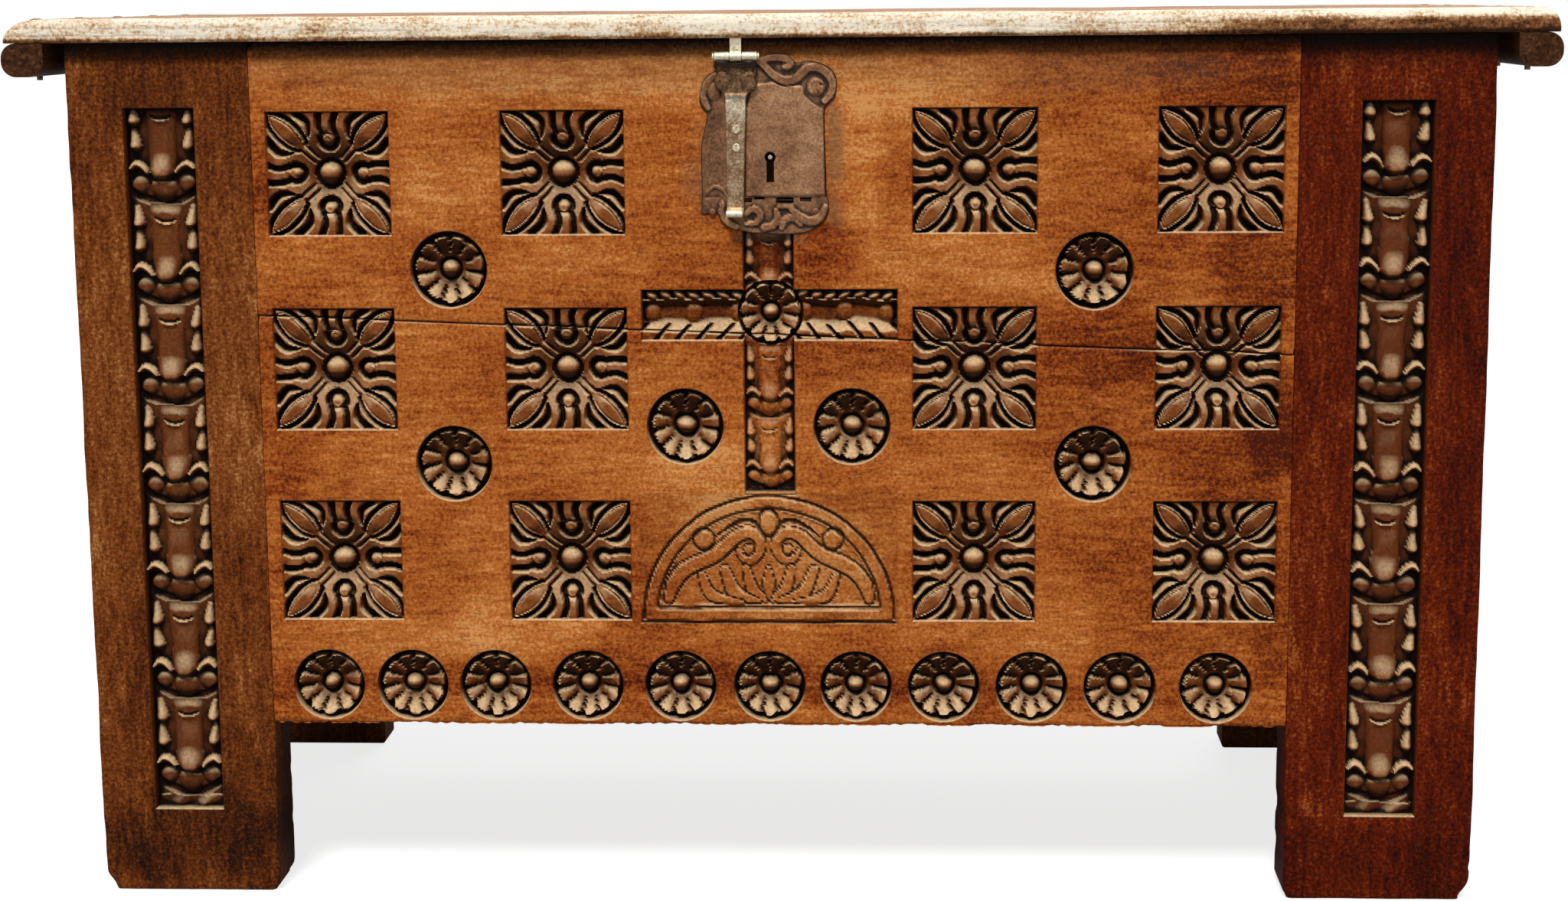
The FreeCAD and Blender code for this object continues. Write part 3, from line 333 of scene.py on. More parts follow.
# %% [markdown]
# The square holds a flower of four leaves on crossed stems, sunk in a wide bowl round a ball. It is the
# same in all eight directions, so one eighth is drawn and the rest is folded onto it: p is the larger
# of |u| and |w|, q the smaller, s runs along the diagonal and t across it. The carver cut grooves, and
# the lobes are what the grooves left, so it is the grooves that are drawn. Each is deepest on its line
# and its shoulders are round. Only the stalk of each bead bends one way, like a comma.

# %% The leafy square
def square_cuts(u, w, p, q, s, t, half):
    """The deepest of five grooves: beside leaf and stem, between lobes, round the bead, along its stalk."""
    past = t - half
    beside_leaf = groove(np.where(past < 1.5, (1.5 - past) / 1.6, (past - 1.5) / 4.6)) * ease(33, 38, s)
    beside_stem = 0.5 * groove(np.abs(t - 3.2) / 1.9) * ease(16, 20, s) * ease(40, 36, s)
    between = groove(reach(p, q, [(35, 20.5), (43, 20), (51, 21.5), (60, 32)], (1.2, 4.4, 5.4, 5.6), 11), 0.1)
    round_bead = groove(np.abs(np.hypot(p - 33.5, q) - 8.6) / 4.4, 0.3) * ease(42, 35, p)
    aside = np.where(np.abs(u) >= np.abs(w), w * np.sign(u), -u * np.sign(w))
    bent = np.abs(aside - 2.0 * np.sin((p - 38) / 23 * np.pi) * ease(36, 44, p))
    along_stalk = groove(np.abs(bent - 7.2 - 1.5 * ease(50, 61, p)) / 4.4, 0.3) * ease(34, 39, p)
    return np.max([beside_leaf, beside_stem, between, round_bead, along_stalk], axis=0)


def square_motif(u, w):
    """A bowl round a ball, with a plain leaf in each corner, lobes beside it, and a bead on each side."""
    p, q = np.maximum(np.abs(u), np.abs(w)), np.minimum(np.abs(u), np.abs(w))
    s, t = (p + q) / 2**0.5, (p - q) / 2**0.5
    r = np.hypot(u, w)
    bowl = 1.8 + 14.6 * np.clip(1 - (r - 8) / 40, 0, 1) ** 1.25
    half = 8.3 * np.clip(1 - ((s - 58.5) / 24.5) ** 2, 0, 1) ** 0.8
    depth = bowl + np.minimum(9.0, 17.0 - bowl) * square_cuts(u, w, p, q, s, t, half)
    leaf = 0.7 + 6.0 * ease(56, 32, s) + 0.9 * groove(np.abs(half - t - 2.0) / 1.4) * ease(40, 46, s)
    depth = depth + (leaf - depth) * ease(-0.4, 0.5, half - t) * (half > 0)
    depth = raised_by(depth, dome(np.hypot(p - 33.5, q), 6.2), 13.5, 8.5)
    depth = np.where(r < 15.5, np.maximum(depth, 17.4 - 1.2 * ease(12, 15.5, r)), depth)
    return raised_by(depth, dome(r, 11.5), 17.4, 13.0)


print("the square is", square_motif(np.zeros(1), np.zeros(1)).round(1)[0], "mm deep at its ball")

# %% [markdown]
# A rose is a round sunk dish. Its petals are what shallow creases leave standing round a ball, so the
# angle is counted in petals, and the depth grows towards the line between two of them.

# %% The rose
def rose(radius):
    """Draws a rose of that radius, with eleven petals; k runs across one petal from -0.5 to 0.5."""
    def rose_motif(u, w):
        r = np.hypot(u, w)
        x = r / radius
        k = (np.arctan2(-u, -w) / (2 * np.pi) * 11 + 0.5) % 1.0 - 0.5
        edge = 0.9 - 0.12 * (2 * np.abs(k)) ** 4
        dish = 1.2 + 10.8 * np.clip(1 - (x / 0.9) ** 1.9, 0, 1) + 3.2 * k**2 * ease(0.3, 0.7, x)
        crease = 4.2 * np.exp(-(((np.abs(k) - 0.5) / (0.075 + 0.05 * x)) ** 2)) * ease(0.34, 0.62, x)
        depth = 10.5 + (dish + crease - 10.5) * ease(edge + 0.03, edge - 0.04, x)
        depth = np.where(x < 0.33, np.maximum(depth, 13.0 - 1.5 * ease(0.26, 0.33, x)), depth)
        return raised_by(depth, dome(r, 0.235 * radius), 13.0, 9.6)
    return rose_motif


# %% [markdown]
# The stiles carry a hanging chain. Each link is a husk: a trunk that swells to a round lip over a
# knob, a curl at each side of the lip, and two drops at each edge. It is drawn once, about its knob.
# The cross has the same husks, smaller, down its stem.

# %% One husk, the chain and the cross's stem
def husk_motif(u, w):
    """One link, 70 wide and 101.7 high: the trunk's back rises to a round lip, with the knob under it."""
    a = np.abs(u)
    depth = np.full(np.shape(u), 9.5)
    half = 13.8 + 1.6 * ease(34, 16, w) - 9.0 * ease(13, -1, w) + 2.7 * ease(50, 79, w)
    back = 7.2 - 2.2 * ease(72, 26, w) - 4.4 * ease(32, 7, w) + 2.4 * ease(8, 0, w)
    trunk = dome(u, half) * ease(0.5, 4.5, w) * ease(81.5, 70, w)
    depth = depth + (back + 0.022 * u**2 * ease(34, 12, w) - depth) * np.minimum(1.12 * trunk, 1)
    arc = w - (62.0 + 0.02 * u**2 + 3 * (1 - dome(u, 14)))
    depth = depth + 2.6 * ease(3.4, 0, arc) * ease(-1.0, 0.3, arc) * ease(11.5, 8.5, a)
    depth = depth - 0.9 * ease(-6, -1.0, arc) * ease(0.3, -0.3, arc) * ease(10, 5, a)
    for low, high in ((55.5, 77.5), (31.5, 53.5)):
        drop = rib(a, w, [(28.5, high), (27, (low + high) / 2), (26.5, low + 6.0)], (3.2, 5.2, 6.2))
        out = np.clip((high - w) / (high - low - 4), 0, 1)
        depth = np.minimum(depth, 9.5 - (2.0 + 6.2 * out) * drop)
    curl = rib(a, w, [(15, 10), (19, 15), (26, 18.5), (32, 14)], (2.4, 3.6, 4.4, 2.4))
    depth = np.minimum(depth, 9.5 - 8.0 * curl)
    depth = np.minimum(depth, 10.0 - 3.4 * dome(np.hypot(a - 23.5, w + 1.5), 9.5))
    under = ease(5.5, 2.5, np.abs(w + 19.5 - 0.012 * u**2))
    depth = depth + np.maximum(12.0 - depth, 0) * under * ease(34, 28, a)
    return raised_by(depth, dome(np.hypot(u, (w + 5) * 0.95), 13.5) * ease(3.5, 0.5, w), 11.4, 5.6)


link_height, top_knob, strip_middle, stem_middle = 101.7, 732, 447, 562


def chain_motif(u, w):
    """The husk repeated down a stile's strip; w is measured from the strip's middle."""
    z = w + strip_middle
    link = np.clip(np.floor((813.5 - z) / link_height), 0, 6)
    local = z - (top_knob - link_height * link)
    return np.where(local < -22, 8.5 + 1.5 * waver(u, z, 30, 9), husk_motif(u, np.maximum(local, -22)))


def stem_motif(u, w):
    """The cross's stem: three small husks, one over each knob, 0.714 times the size of the chain's."""
    z = w + stem_middle
    depth = np.full(np.shape(u), 7.0)
    for knob in (625, 510, 437):
        near = (z > knob - 15) & (z < knob + 58)
        depth = np.where(near, husk_motif(u / 0.714, (z - knob) / 0.714) * 0.8, depth)
    return depth


# %% The cross's arms
def arm_motif(u, w):
    """A half-pipe crossed by an oval bead every 42.4 mm, with lobes along its top and slanted grooves below."""
    a = np.abs(w)
    pipe = 1.5 + 9.6 * np.clip(1 - (a / 17.0) ** np.where(w < 0, 1.3, 2.2), 0, 1)
    depth = np.maximum(pipe, 8.8 * ease(14.5, 16.5, a) * (1 - 0.75 * (w < 0)))
    k = (np.abs(u) + 3) % 14.2 - 7.1
    lobe = dome(np.hypot((k - 0.5 * (w - 18)) / 6.2, (w - 18.8) / 5.6), 1.0)
    j = (np.abs(u) + 11) % 21.2 - 10.6
    slanted = groove(np.abs(j + 0.9 * (w + 16)) / 3.6, 0.15) * ease(-8, -12, w)
    depth = np.minimum(depth, 9.4 - 7.4 * lobe) + 4.6 * slanted
    v = (np.abs(u) - 53.8) % 42.4 - 21.2
    return raised_by(depth, dome(np.hypot(v / 9.5, (w - 2) / 14), 1.0), 11.6, 5.2)


# %% [markdown]
# The half-round panel is drawn rather than carved: a gouge follows each outline, and the leaves, the
# ribbon and the bud keep the board's own face between the gouge lines.

# %% The half-round panel
panel_leaves = (
    ([(0, 9), (0, 24), (0, 41)], (2.5, 6.8, 2.5)),
    ([(-4, 8), (-17, 20), (-23, 41)], (2.5, 6.2, 4)),
    ([(-10, 7), (-34, 15), (-45, 39)], (2.5, 7.2, 5)),
    ([(-26, 6), (-57, 12), (-68, 33)], (2, 6.2, 4)),
)
ribbon = [(-101, 9), (-96, 25), (-87, 37), (-72, 46), (-54, 54), (-42, 64), (-31, 74), (-18, 77), (-9, 70),
          (-8, 59), (-15, 50), (-26, 51), (-31, 59)]
ribbon_widths = (5, 7.5, 7.5, 7.5, 7, 7, 6.6, 6, 5.4, 5, 4.6, 3.6, 2.4)


def outlined(depth, ratio, top):
    """A shape that stands at its top depth where the ratio is under 1, with a gouge line just round it."""
    depth = np.maximum(depth, 5.2 * ease(1.42, 1.1, ratio) * ease(0.84, 1.0, ratio))
    return depth + (top - depth) * ease(1.0, 0.78, ratio)


def lunette_motif(u, w):
    """The panel: outlined leaves, ribbon, balls and bud on a ground 3 down, inside two arcs and two lines."""
    w = w + 51.5
    a = np.abs(u)
    r = np.hypot(u, w + 11.5)
    depth = 3.0 * ease(112.5, 110, r) * ease(1.5, 3.5, w)
    for points, widths in panel_leaves:
        depth = outlined(depth, reach(-a, w, points, widths), 0.6)
    depth = outlined(depth, reach(-a, w, ribbon, ribbon_widths, 38), 0.3)
    under_bud = reach(a, w, [(52, 73), (40, 82), (26, 89), (15, 88), (9, 80)], (0.8, 2.6, 3.6, 3.2, 1.2), 15)
    depth = np.maximum(depth, 6.5 * ease(1.0, 0.6, under_bud))
    depth = outlined(depth, np.hypot(a - 19.5, w - 60) / 5.2, 0.7)
    depth = outlined(depth, np.hypot(a - 65, w - 70) / 10.0, 0.4)
    depth = outlined(depth, np.hypot(u / 9.3, (w - 87) / 13.2), 0.3)
    for ring, foot in ((126.5, -12.5), (113.0, 0)):
        depth = np.maximum(depth, 4.0 * ease(2.3, 0.6, np.abs(r - ring)) * ease(foot - 1, foot + 1, w))
    for line, end in ((0, 113), (-14.5, 130)):
        depth = np.maximum(depth, 4.0 * ease(2.3, 0.6, np.abs(w - line)) * ease(end, end - 3, a))
    return depth


print("the panel's ribbon is", len(ribbon), "points long, and mirrored")

# %% [markdown]
# ## Where each ornament goes
# Every ornament is a function, a place, and the lines its surface needs: a rectangle or a circle, with
# points close enough for the smallest cut. Nobody carves twelve squares alike, so each one is nudged
# and bent a little by its own slow wave.

# %% What an ornament is
class Ornament:
    """One carving. Besides its motif, centre and half sizes it has a step between its points, a seed and a
    bend for its waves, a cut that its depth is multiplied by, and a stain for how dark it is."""

    step, round_edge, seed, bend, cut, stain = 1.45, False, 0, 0.7, 1.35, 1.0

    def __init__(self, motif, x, z, half_width, half_height=None, **settings):
        self.motif, self.x, self.z = motif, x, z
        self.half_width, self.half_height = half_width, half_height or half_width
        for name, value in settings.items():
            setattr(self, name, value)

    def outside(self, x, z):
        """How far outside its rim each point lies; less than 0 inside."""
        if self.round_edge:
            return np.hypot(x - self.x, z - self.z) - self.half_width
        return np.maximum(np.abs(x - self.x) - self.half_width, np.abs(z - self.z) - self.half_height)

    def holds(self, x, z, margin=0.0):
        """Which points lie inside it, at least that far in from its rim."""
        return self.outside(x, z) < -margin

    def depth(self, x, z):
        """How far below the board's face it lies; the bend moves points by about a millimetre."""
        u, w = x - self.x, z - self.z
        u = u + self.bend * waver(u, w, 45, self.seed)
        w = w + self.bend * waver(u, w, 45, self.seed + 50)
        return self.cut * self.motif(u, w) * (1 + 0.07 * waver(x, z, 90, self.seed + 90))

    def ring(self, radius, count):
        """That many points on a circle about its centre."""
        turn = np.arange(count) * 2 * np.pi / count
        return np.c_[self.x + radius * np.cos(turn), self.z + radius * np.sin(turn)]

    def rim(self, inward=0.0):
        """Its edge as a closed line of points."""
        if self.round_edge:
            return self.ring(self.half_width - inward, int(2 * np.pi * self.half_width / 2.6))
        wide, high = self.half_width - inward, self.half_height - inward
        across = np.linspace(-wide, wide, int(2 * wide / self.step) + 1)[:-1]
        upward = np.linspace(-high, high, int(2 * high / self.step) + 1)[:-1]
        sides = ((across, -high), (wide, upward), (-across, high), (-wide, -upward))
        return np.vstack([np.stack(np.broadcast_arrays(self.x + a, self.z + b), -1) for a, b in sides])

    def inner_points(self):
        """The points between: rings for a round one, rows for a square one."""
        if self.round_edge:
            radii = np.arange(0.9, self.half_width - 1.6, self.step)
            gaps = 0.6 * self.step + 0.6 * self.step * radii / 12
            return np.vstack([self.ring(q, max(8, int(2 * np.pi * q / gap))) for q, gap in zip(radii, gaps)])
        wide, high = self.half_width - 1.6, self.half_height - 1.6
        across = np.linspace(-wide, wide, max(2, int(2 * wide / self.step)))
        upward = np.linspace(-high, high, max(2, int(2 * high / self.step)))
        return np.stack(np.meshgrid(across, upward), -1).reshape(-1, 2) + (self.x, self.z)


# %% Place them
squares = [Ornament(square_motif, x, z, 61, step=1.4, seed=3 * i + 7 * j, cut=1.0)
           for i, x in enumerate((-441, -208, 198, 437.5)) for j, z in enumerate((740.5, 545.3, 350.1))]
rose_places = ((-323.5, 645), (315.5, 641.5), (-323.5, 449.5), (315.5, 449), (-90, 487), (76.5, 487))
roses = [Ornament(rose(38), x, z, 38, round_edge=True, step=1.7, seed=60 + i, bend=0.9)
         for i, (x, z) in enumerate(rose_places)]
row = [Ornament(rose(36), x, 220.5, 36, round_edge=True, step=1.7, seed=80 + i, bend=1.0) for i, x in
       enumerate((-458.5, -372.5, -287.5, -193, -98.5, -8, 79.5, 168, 256.5, 345, 441))]
arms = Ornament(arm_motif, -5, 599, 127, 25, seed=101, stain=0.55, bend=1.6)
stem = Ornament(stem_motif, -5.5, stem_middle, 25, 144, seed=102, cut=1.2, stain=0.28)
crossing = Ornament(rose(33), -4, 601, 33, round_edge=True, step=1.5, seed=103, stain=0.7)
lunette = Ornament(lunette_motif, -8, 353, 131, 68, step=1.9, seed=104, bend=0.5, cut=1.0, stain=0.3)
sunk = squares + roses + row + [arms, stem, crossing]
ornaments = sunk + [lunette]
print(len(squares), "squares,", len(roses) + len(row), "roses, a cross and a half-round panel")

# %% [markdown]
# ## From heights to a board
# A carved board is a slab whose front follows the depths. Its face is cut into triangles between all
# the points, so the mesh is fine inside the ornaments and coarse on plain wood. Delaunay's rule does
# that from loose points, and keeps the outline and each ornament's rim as edges.

# %% Lines and what they hold
def within(points, starts, ends):
    """Which points a closed set of edges holds: a ray from each crosses the edges an odd number of times."""
    x, z = points.T
    found = np.zeros(len(points), bool)
    for (x0, z0), (x1, z1) in zip(starts, ends):
        crosses = (z0 > z) != (z1 > z)
        found ^= crosses & (x < x0 + (x1 - x0) * (z - z0) / (z1 - z0 if z1 != z0 else 1))
    return found


def inside(points, loop):
    """Which points lie in a closed loop."""
    return within(points, loop, np.roll(loop, -1, axis=0))


def inset(loop, distance):
    """The loop moved inward along the mean of its neighbouring edges' normals; it runs anticlockwise."""
    forward = np.roll(loop, -1, axis=0) - loop
    forward /= np.linalg.norm(forward, axis=1)[:, None] + 1e-9
    mean = forward + np.roll(forward, 1, axis=0)
    mean /= np.linalg.norm(mean, axis=1)[:, None] + 1e-9
    return loop + distance * np.c_[-mean[:, 1], mean[:, 0]]


def framed(x0, x1, z0, z1, step):
    """A rectangle as a closed line of points about that far apart."""
    corners = np.array([(x0, z0), (x1, z0), (x1, z1), (x0, z1)], float)
    runs = []
    for start, end in zip(corners, np.roll(corners, -1, axis=0)):
        count = max(1, int(round(np.linalg.norm(end - start) / step)))
        runs.append(start + (end - start) * np.arange(count)[:, None] / count)
    return np.vstack(runs)


def from_loop(x, z, loop):
    """The distance from a closed loop, in millimetres."""
    return reach(x, z, np.vstack([loop, loop[:1]]), (1, 1), len(loop) + 1)


def grid_of(columns, rows):
    """Every crossing of those columns and rows, as points."""
    return np.stack(np.meshgrid(columns, rows), -1).reshape(-1, 2)


# %% Cut a face into triangles
def delaunay(points, edges, closeness, names=False):
    """Delaunay triangles between points that keep the edges: points, faces, and which point each was."""
    made = delaunay_2d_cdt([Vector(point) for point in points.tolist()], edges, [], 0, closeness, names)
    return np.array([tuple(point) for point in made[0]]), np.array(made[2]), made[3]


def triangles(loops, guides, loose):
    """Triangles inside the first loop and outside the others, with every guide kept as edges."""
    loops = [loop.astype(np.float32).astype(float) for loop in loops]
    edges, start = [], 0
    for chain in loops + guides:
        index = np.arange(len(chain)) + start
        edges += np.c_[index, np.roll(index, -1)].tolist()
        start += len(chain)
    points, faces, _ = delaunay(np.vstack(loops + guides + [loose]), edges, 1e-4)
    middle = points[faces].mean(axis=1)
    kept = inside(middle, loops[0])
    for hole in loops[1:]:
        kept &= ~inside(middle, hole)
    used, faces = np.unique(faces[kept], return_inverse=True)
    return points[used], faces.reshape(-1, 3)


# %% Give the face a back
def slab(loops, guides, loose, front, back):
    """A closed slab: front(x, z) gives the face's y, and back is the flat y behind. The rim is every side
    that only one triangle has, and the back is cut from the rim alone. Returns points, faces and x, z."""
    flat, faces = triangles(loops, guides, loose)
    sides = np.vstack([faces[:, [0, 1]], faces[:, [1, 2]], faces[:, [2, 0]]])
    _, first, count = np.unique(np.sort(sides, axis=1) @ (len(flat), 1), return_index=True, return_counts=True)
    rim = sides[first[count == 1]]
    ring, step = np.unique(rim, return_inverse=True)
    step = step.reshape(-1, 2)
    back_points, back_faces, origins = delaunay(flat[ring], step.tolist(), 1e-5, True)
    kept = within(back_points[back_faces].mean(axis=1), *flat[ring][step].transpose(1, 0, 2))
    back_faces = np.array([ids[0] for ids in origins])[back_faces[kept]]
    n = len(flat)
    points = np.vstack([np.c_[flat[:, 0], front(*flat.T), flat[:, 1]],
                        np.c_[flat[ring, 0], np.full(len(ring), back), flat[ring, 1]]])
    walls = [np.c_[rim[:, 1], rim[:, 0], n + step[:, 0]], np.c_[rim[:, 1], n + step[:, 0], n + step[:, 1]]]
    return points, np.vstack([faces, *walls, n + back_faces[:, ::-1]]), points[:, [0, 2]]


# %% Turn points and faces into a piece
def piece(name, points, faces, body, finish, stands_for, slot_name, sharp=38, **marks):
    """A mesh from millimetres, riding on its body in place of a measured piece. Marks are one number per
    point for the finish to read; points past the end of a mark get 0."""
    mesh = bpy.data.meshes.new(name)
    mesh.from_pydata((points / 1000).tolist(), [], faces if isinstance(faces, list) else faces.tolist())
    for mark, values in marks.items():
        values = np.pad(values, (0, len(points) - len(values))).astype(np.float32)
        mesh.attributes.new(mark, "FLOAT", "POINT").data.foreach_set("value", values)
    mesh.materials.append(finish)
    mesh.shade_smooth()
    mesh.set_sharp_from_angle(angle=math.radians(sharp))
    made = placed(name, mesh)
    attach(made, body)
    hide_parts(stands_for)
    print(name, len(points), "points,", len(faces), "faces")


def boxes(*spans):
    """Points and triangles of plain blocks, each ((x0, x1), (y0, y1), (z0, z1))."""
    corner = np.array([[i, j, k] for i in (0, 1) for j in (0, 1) for k in (0, 1)])
    quads = np.array([(0, 1, 3, 2), (4, 6, 7, 5), (0, 4, 5, 1), (2, 3, 7, 6), (0, 2, 6, 4), (1, 5, 7, 3)])
    faces = np.vstack([quads[:, [0, 1, 2]], quads[:, [0, 2, 3]]])
    points = np.vstack([np.array(span, float)[np.arange(3), corner] for span in spans])
    return points, np.vstack([faces + 8 * i for i in range(len(spans))])


# %% [markdown]
# ## Wear and painted shade, worked out from the shape
# Dirt settles and shade is painted where a point lies deeper than what surrounds it, and a duster rubs
# what stands proud. So the depths are drawn on a fine raster, the raster is blurred, and the difference
# says which.
# So the depths are drawn on a fine raster, the raster is blurred, and the difference says which.

# %% Read the hollows and crests from the depths
def wear(depth_at, x, z, cell=1.5, cells=4):
    """The depth of each point less the mean depth of its surroundings, about 6 mm to every side: a running
    mean twice each way, read between the raster's points in proportion to the distance."""
    columns, rows = (np.arange(v.min() - 12, v.max() + 12, cell) for v in (x, z))
    field = depth_at(*np.meshgrid(columns, rows))
    size = 2 * cells + 1
    for axis in (0, 1, 0, 1):
        wider = [(cells + 1, cells) if side == axis else (0, 0) for side in (0, 1)]
        total = np.pad(field, wider, mode="edge").cumsum(axis)
        count = total.shape[axis]
        field = (total.take(range(size, count), axis) - total.take(range(count - size), axis)) / size
    i, j = (z - rows[0]) / cell, (x - columns[0]) / cell
    i0, j0 = i.astype(int).clip(0, field.shape[0] - 2), j.astype(int).clip(0, field.shape[1] - 2)
    di, dj = i - i0, j - j0
    left, right_hand = (field[i0, j] * (1 - di) + field[i0 + 1, j] * di for j in (j0, j0 + 1))
    return depth_at(x, z) - (left * (1 - dj) + right_hand * dj)


def blots(x, z, places):
    """Soft oval patches, each (x, z, half width, half height, amount), with wavering edges."""
    total = np.zeros(np.shape(x))
    for n, (px, pz, wide, high, amount) in enumerate(places):
        far = np.hypot((x - px) / wide, (z - pz) / high)
        far = far + 0.16 * waver(x, z, 60, 300 + n) + 0.1 * waver(x, z, 22, 400 + n)
        total += amount * ease(1.15, 0.55, far)
    return total


def edge_rounding(distance, radius):
    """How far a worn arris falls back: a quarter circle of that radius, by distance from the edge."""
    return radius * (1 - np.sqrt(1 - np.clip(1 - distance / radius, 0, 1) ** 2))


def lid_shadow(z, low=857.5):
    """Painted shadow under the lid's edge: none at the low height, full from 865 mm up."""
    return ease(low, 865, z)


# %% [markdown]
# ## Laying out a carved plank
# Boards and stiles are laid out alike. Lines just inside the outline let the arris be round, lines
# round each rim keep the carving's wall upright, and plain wood gets a wide net of points.

# %% Lines to keep and points between
def laid_out(outline, distances, carvings, net):
    """The mesh's kept lines and its loose points. Where two carvings overlap, the later one's points stay."""
    near_lines = [inset(outline, distance) for distance in distances]
    groups = []
    for n, carving in enumerate(carvings):
        net = net[~carving.holds(*net.T, margin=-2.5)]
        points = carving.inner_points()
        for later in carvings[n + 1 :]:
            points = points[~later.holds(*points.T, margin=-1.0)]
        groups.append(points)
    rims = [carving.rim(inward) for carving in carvings for inward in (-1.6, -0.7, 0.0, 0.8)
            if inside(carving.rim(), outline).any()]
    loose = np.vstack([net] + groups)
    return near_lines + rims, loose[inside(loose, near_lines[-1])]


def carved_into(depth, carvings, x, z):
    """The plain face's depth, and inside each carving the carving's own."""
    for carving in carvings:
        held = carving.holds(x, z, 0.4)
        depth[held] = carving.depth(x[held], z[held])
    return depth


def lip_rounding(outside):
    """The rim's worn lip, by distance outside the rim; 0 inside."""
    return np.where(outside > -0.4, edge_rounding(np.maximum(outside, 0), 1.4), 0)


# %% [markdown]
# ## The front boards
# Two boards fill the front. Their seam runs downhill to the right, because each was sawn with the
# taper of its log, and it cuts straight through the second row of squares. Behind the lock plate the
# upper board has a pocket for the lock. Smoke, hands and old spills leave the wood darker and lighter
# in patches, and iron and the acid in oak make a grey stain beside the plate. Under the lid's edge a
# shadow is painted on: black close under the edge, and grey a little lower.

# %% Measures and patches of the boards
front_y, board_back, rim_z, foot_z = -304.0, -272.0, 871.0, 181.0
left_x, right_x = -517.0, 512.0
seam_left, seam_right, half_gap = 600.0, 558.0, 0.4
pocket, pocket_depth = (-54.0, 48.0, 710.0, 802.0), 22.0
tongue_y, tongue_length = (-294, -282), 18
board_tone = [
    (-440, 840, 230, 60, 0.16), (-250, 690, 60, 50, 0.06), (20, 838, 240, 45, 0.24), (330, 842, 150, 40, 0.08),
    (440, 832, 100, 40, -0.26), (-170, 850, 200, 40, 0.1), (-325, 745, 60, 80, 0.14), (85, 740, 30, 90, 0.22),
    (-420, 520, 130, 110, 0.12), (-330, 610, 60, 40, 0.06), (-205, 648, 110, 34, 0.16), (190, 650, 110, 40, 0.16),
    (58, 662, 40, 36, -0.2), (-5, 662, 22, 26, -0.3), (350, 690, 130, 70, -0.16), (480, 640, 60, 60, -0.3),
    (320, 575, 70, 50, -0.2), (410, 550, 80, 40, -0.12), (-150, 540, 60, 60, 0.05), (-60, 430, 80, 50, 0.16),
    (-250, 425, 70, 34, -0.14), (-290, 372, 46, 44, 0.2), (-250, 290, 90, 60, 0.3), (-400, 265, 160, 26, 0.1),
    (-330, 225, 180, 16, -0.22), (60, 225, 300, 20, -0.16), (200, 205, 170, 20, -0.14), (-60, 265, 120, 22, 0.12),
    (285, 290, 44, 60, 0.14), (320, 440, 80, 70, -0.06), (-8, 350, 130, 80, 0.26), (490, 790, 36, 110, -0.14),
    (494, 500, 32, 90, -0.34), (494, 300, 30, 90, -0.2), (440, 440, 70, 40, -0.14), (-492, 715, 34, 30, -0.16),
    (-492, 592, 34, 28, -0.16), (-492, 470, 36, 60, -0.14), (100, 620, 60, 40, 0.12), (-225, 705, 60, 34, -0.12),
]
# grey beside the plate is iron stain; the last two patches, along the top under the lid, are painted shade
grey_stain_and_shade = [(61, 765, 9, 42, 0.75), (57, 700, 8, 22, 0.6), (-75, 745, 8, 50, 0.6), (0, 676, 50, 5, 0.5),
               (-230, 850, 330, 38, 0.32), (260, 846, 220, 34, 0.26)]


def seam(x):
    """The seam's height: a straight line between its two ends."""
    return seam_left + (seam_right - seam_left) * (x - left_x) / (right_x - left_x)


def front_depth(x, z):
    """Every ornament on the front, over a face that planing left very slightly uneven."""
    return carved_into(0.35 * waver(x, z, 210, 11) + 0.15 * waver(x * 0.3, z, 30, 12), ornaments, x, z)


print("the seam falls", seam_left - seam_right, "mm to the right, past", len(board_tone), "patches of tone")


# %% Outline a board, and shape its face
def board_outline(bottom, top):
    """The bottom line, the right end, the top line and the left end: one line that runs anticlockwise."""
    right_end, left_end = (np.c_[np.full(40, x), np.linspace(low, high, 42)[1:-1]] for x, low, high in
                           ((right_x, bottom[-1, 1], top[0, 1]), (left_x, top[-1, 1], bottom[0, 1])))
    return np.vstack([bottom, right_end, top, left_end])


def board_face(lower, x, z):
    """The board's front in y: the carving, with its lips, its seam, its ends and its long edge worn round."""
    depth = front_depth(x, z) + lip_rounding(np.min([carving.outside(x, z) for carving in sunk], axis=0))
    depth = depth + edge_rounding(np.abs(z - seam(x)) - half_gap, 2.2)
    depth = depth + 0.8 * edge_rounding(np.minimum(x - left_x, right_x - x), 1.0)
    if lower:
        return front_y + depth + edge_rounding(np.abs(z - foot_z), 3.0)
    x0, x1, z0, z1 = pocket
    in_pocket = (x > x0 - 0.1) & (x < x1 + 0.1) & (z > z0 - 0.1) & (z < z1 + 0.1)
    return front_y + np.where(in_pocket, pocket_depth, depth + edge_rounding(rim_z - z, 1.5))


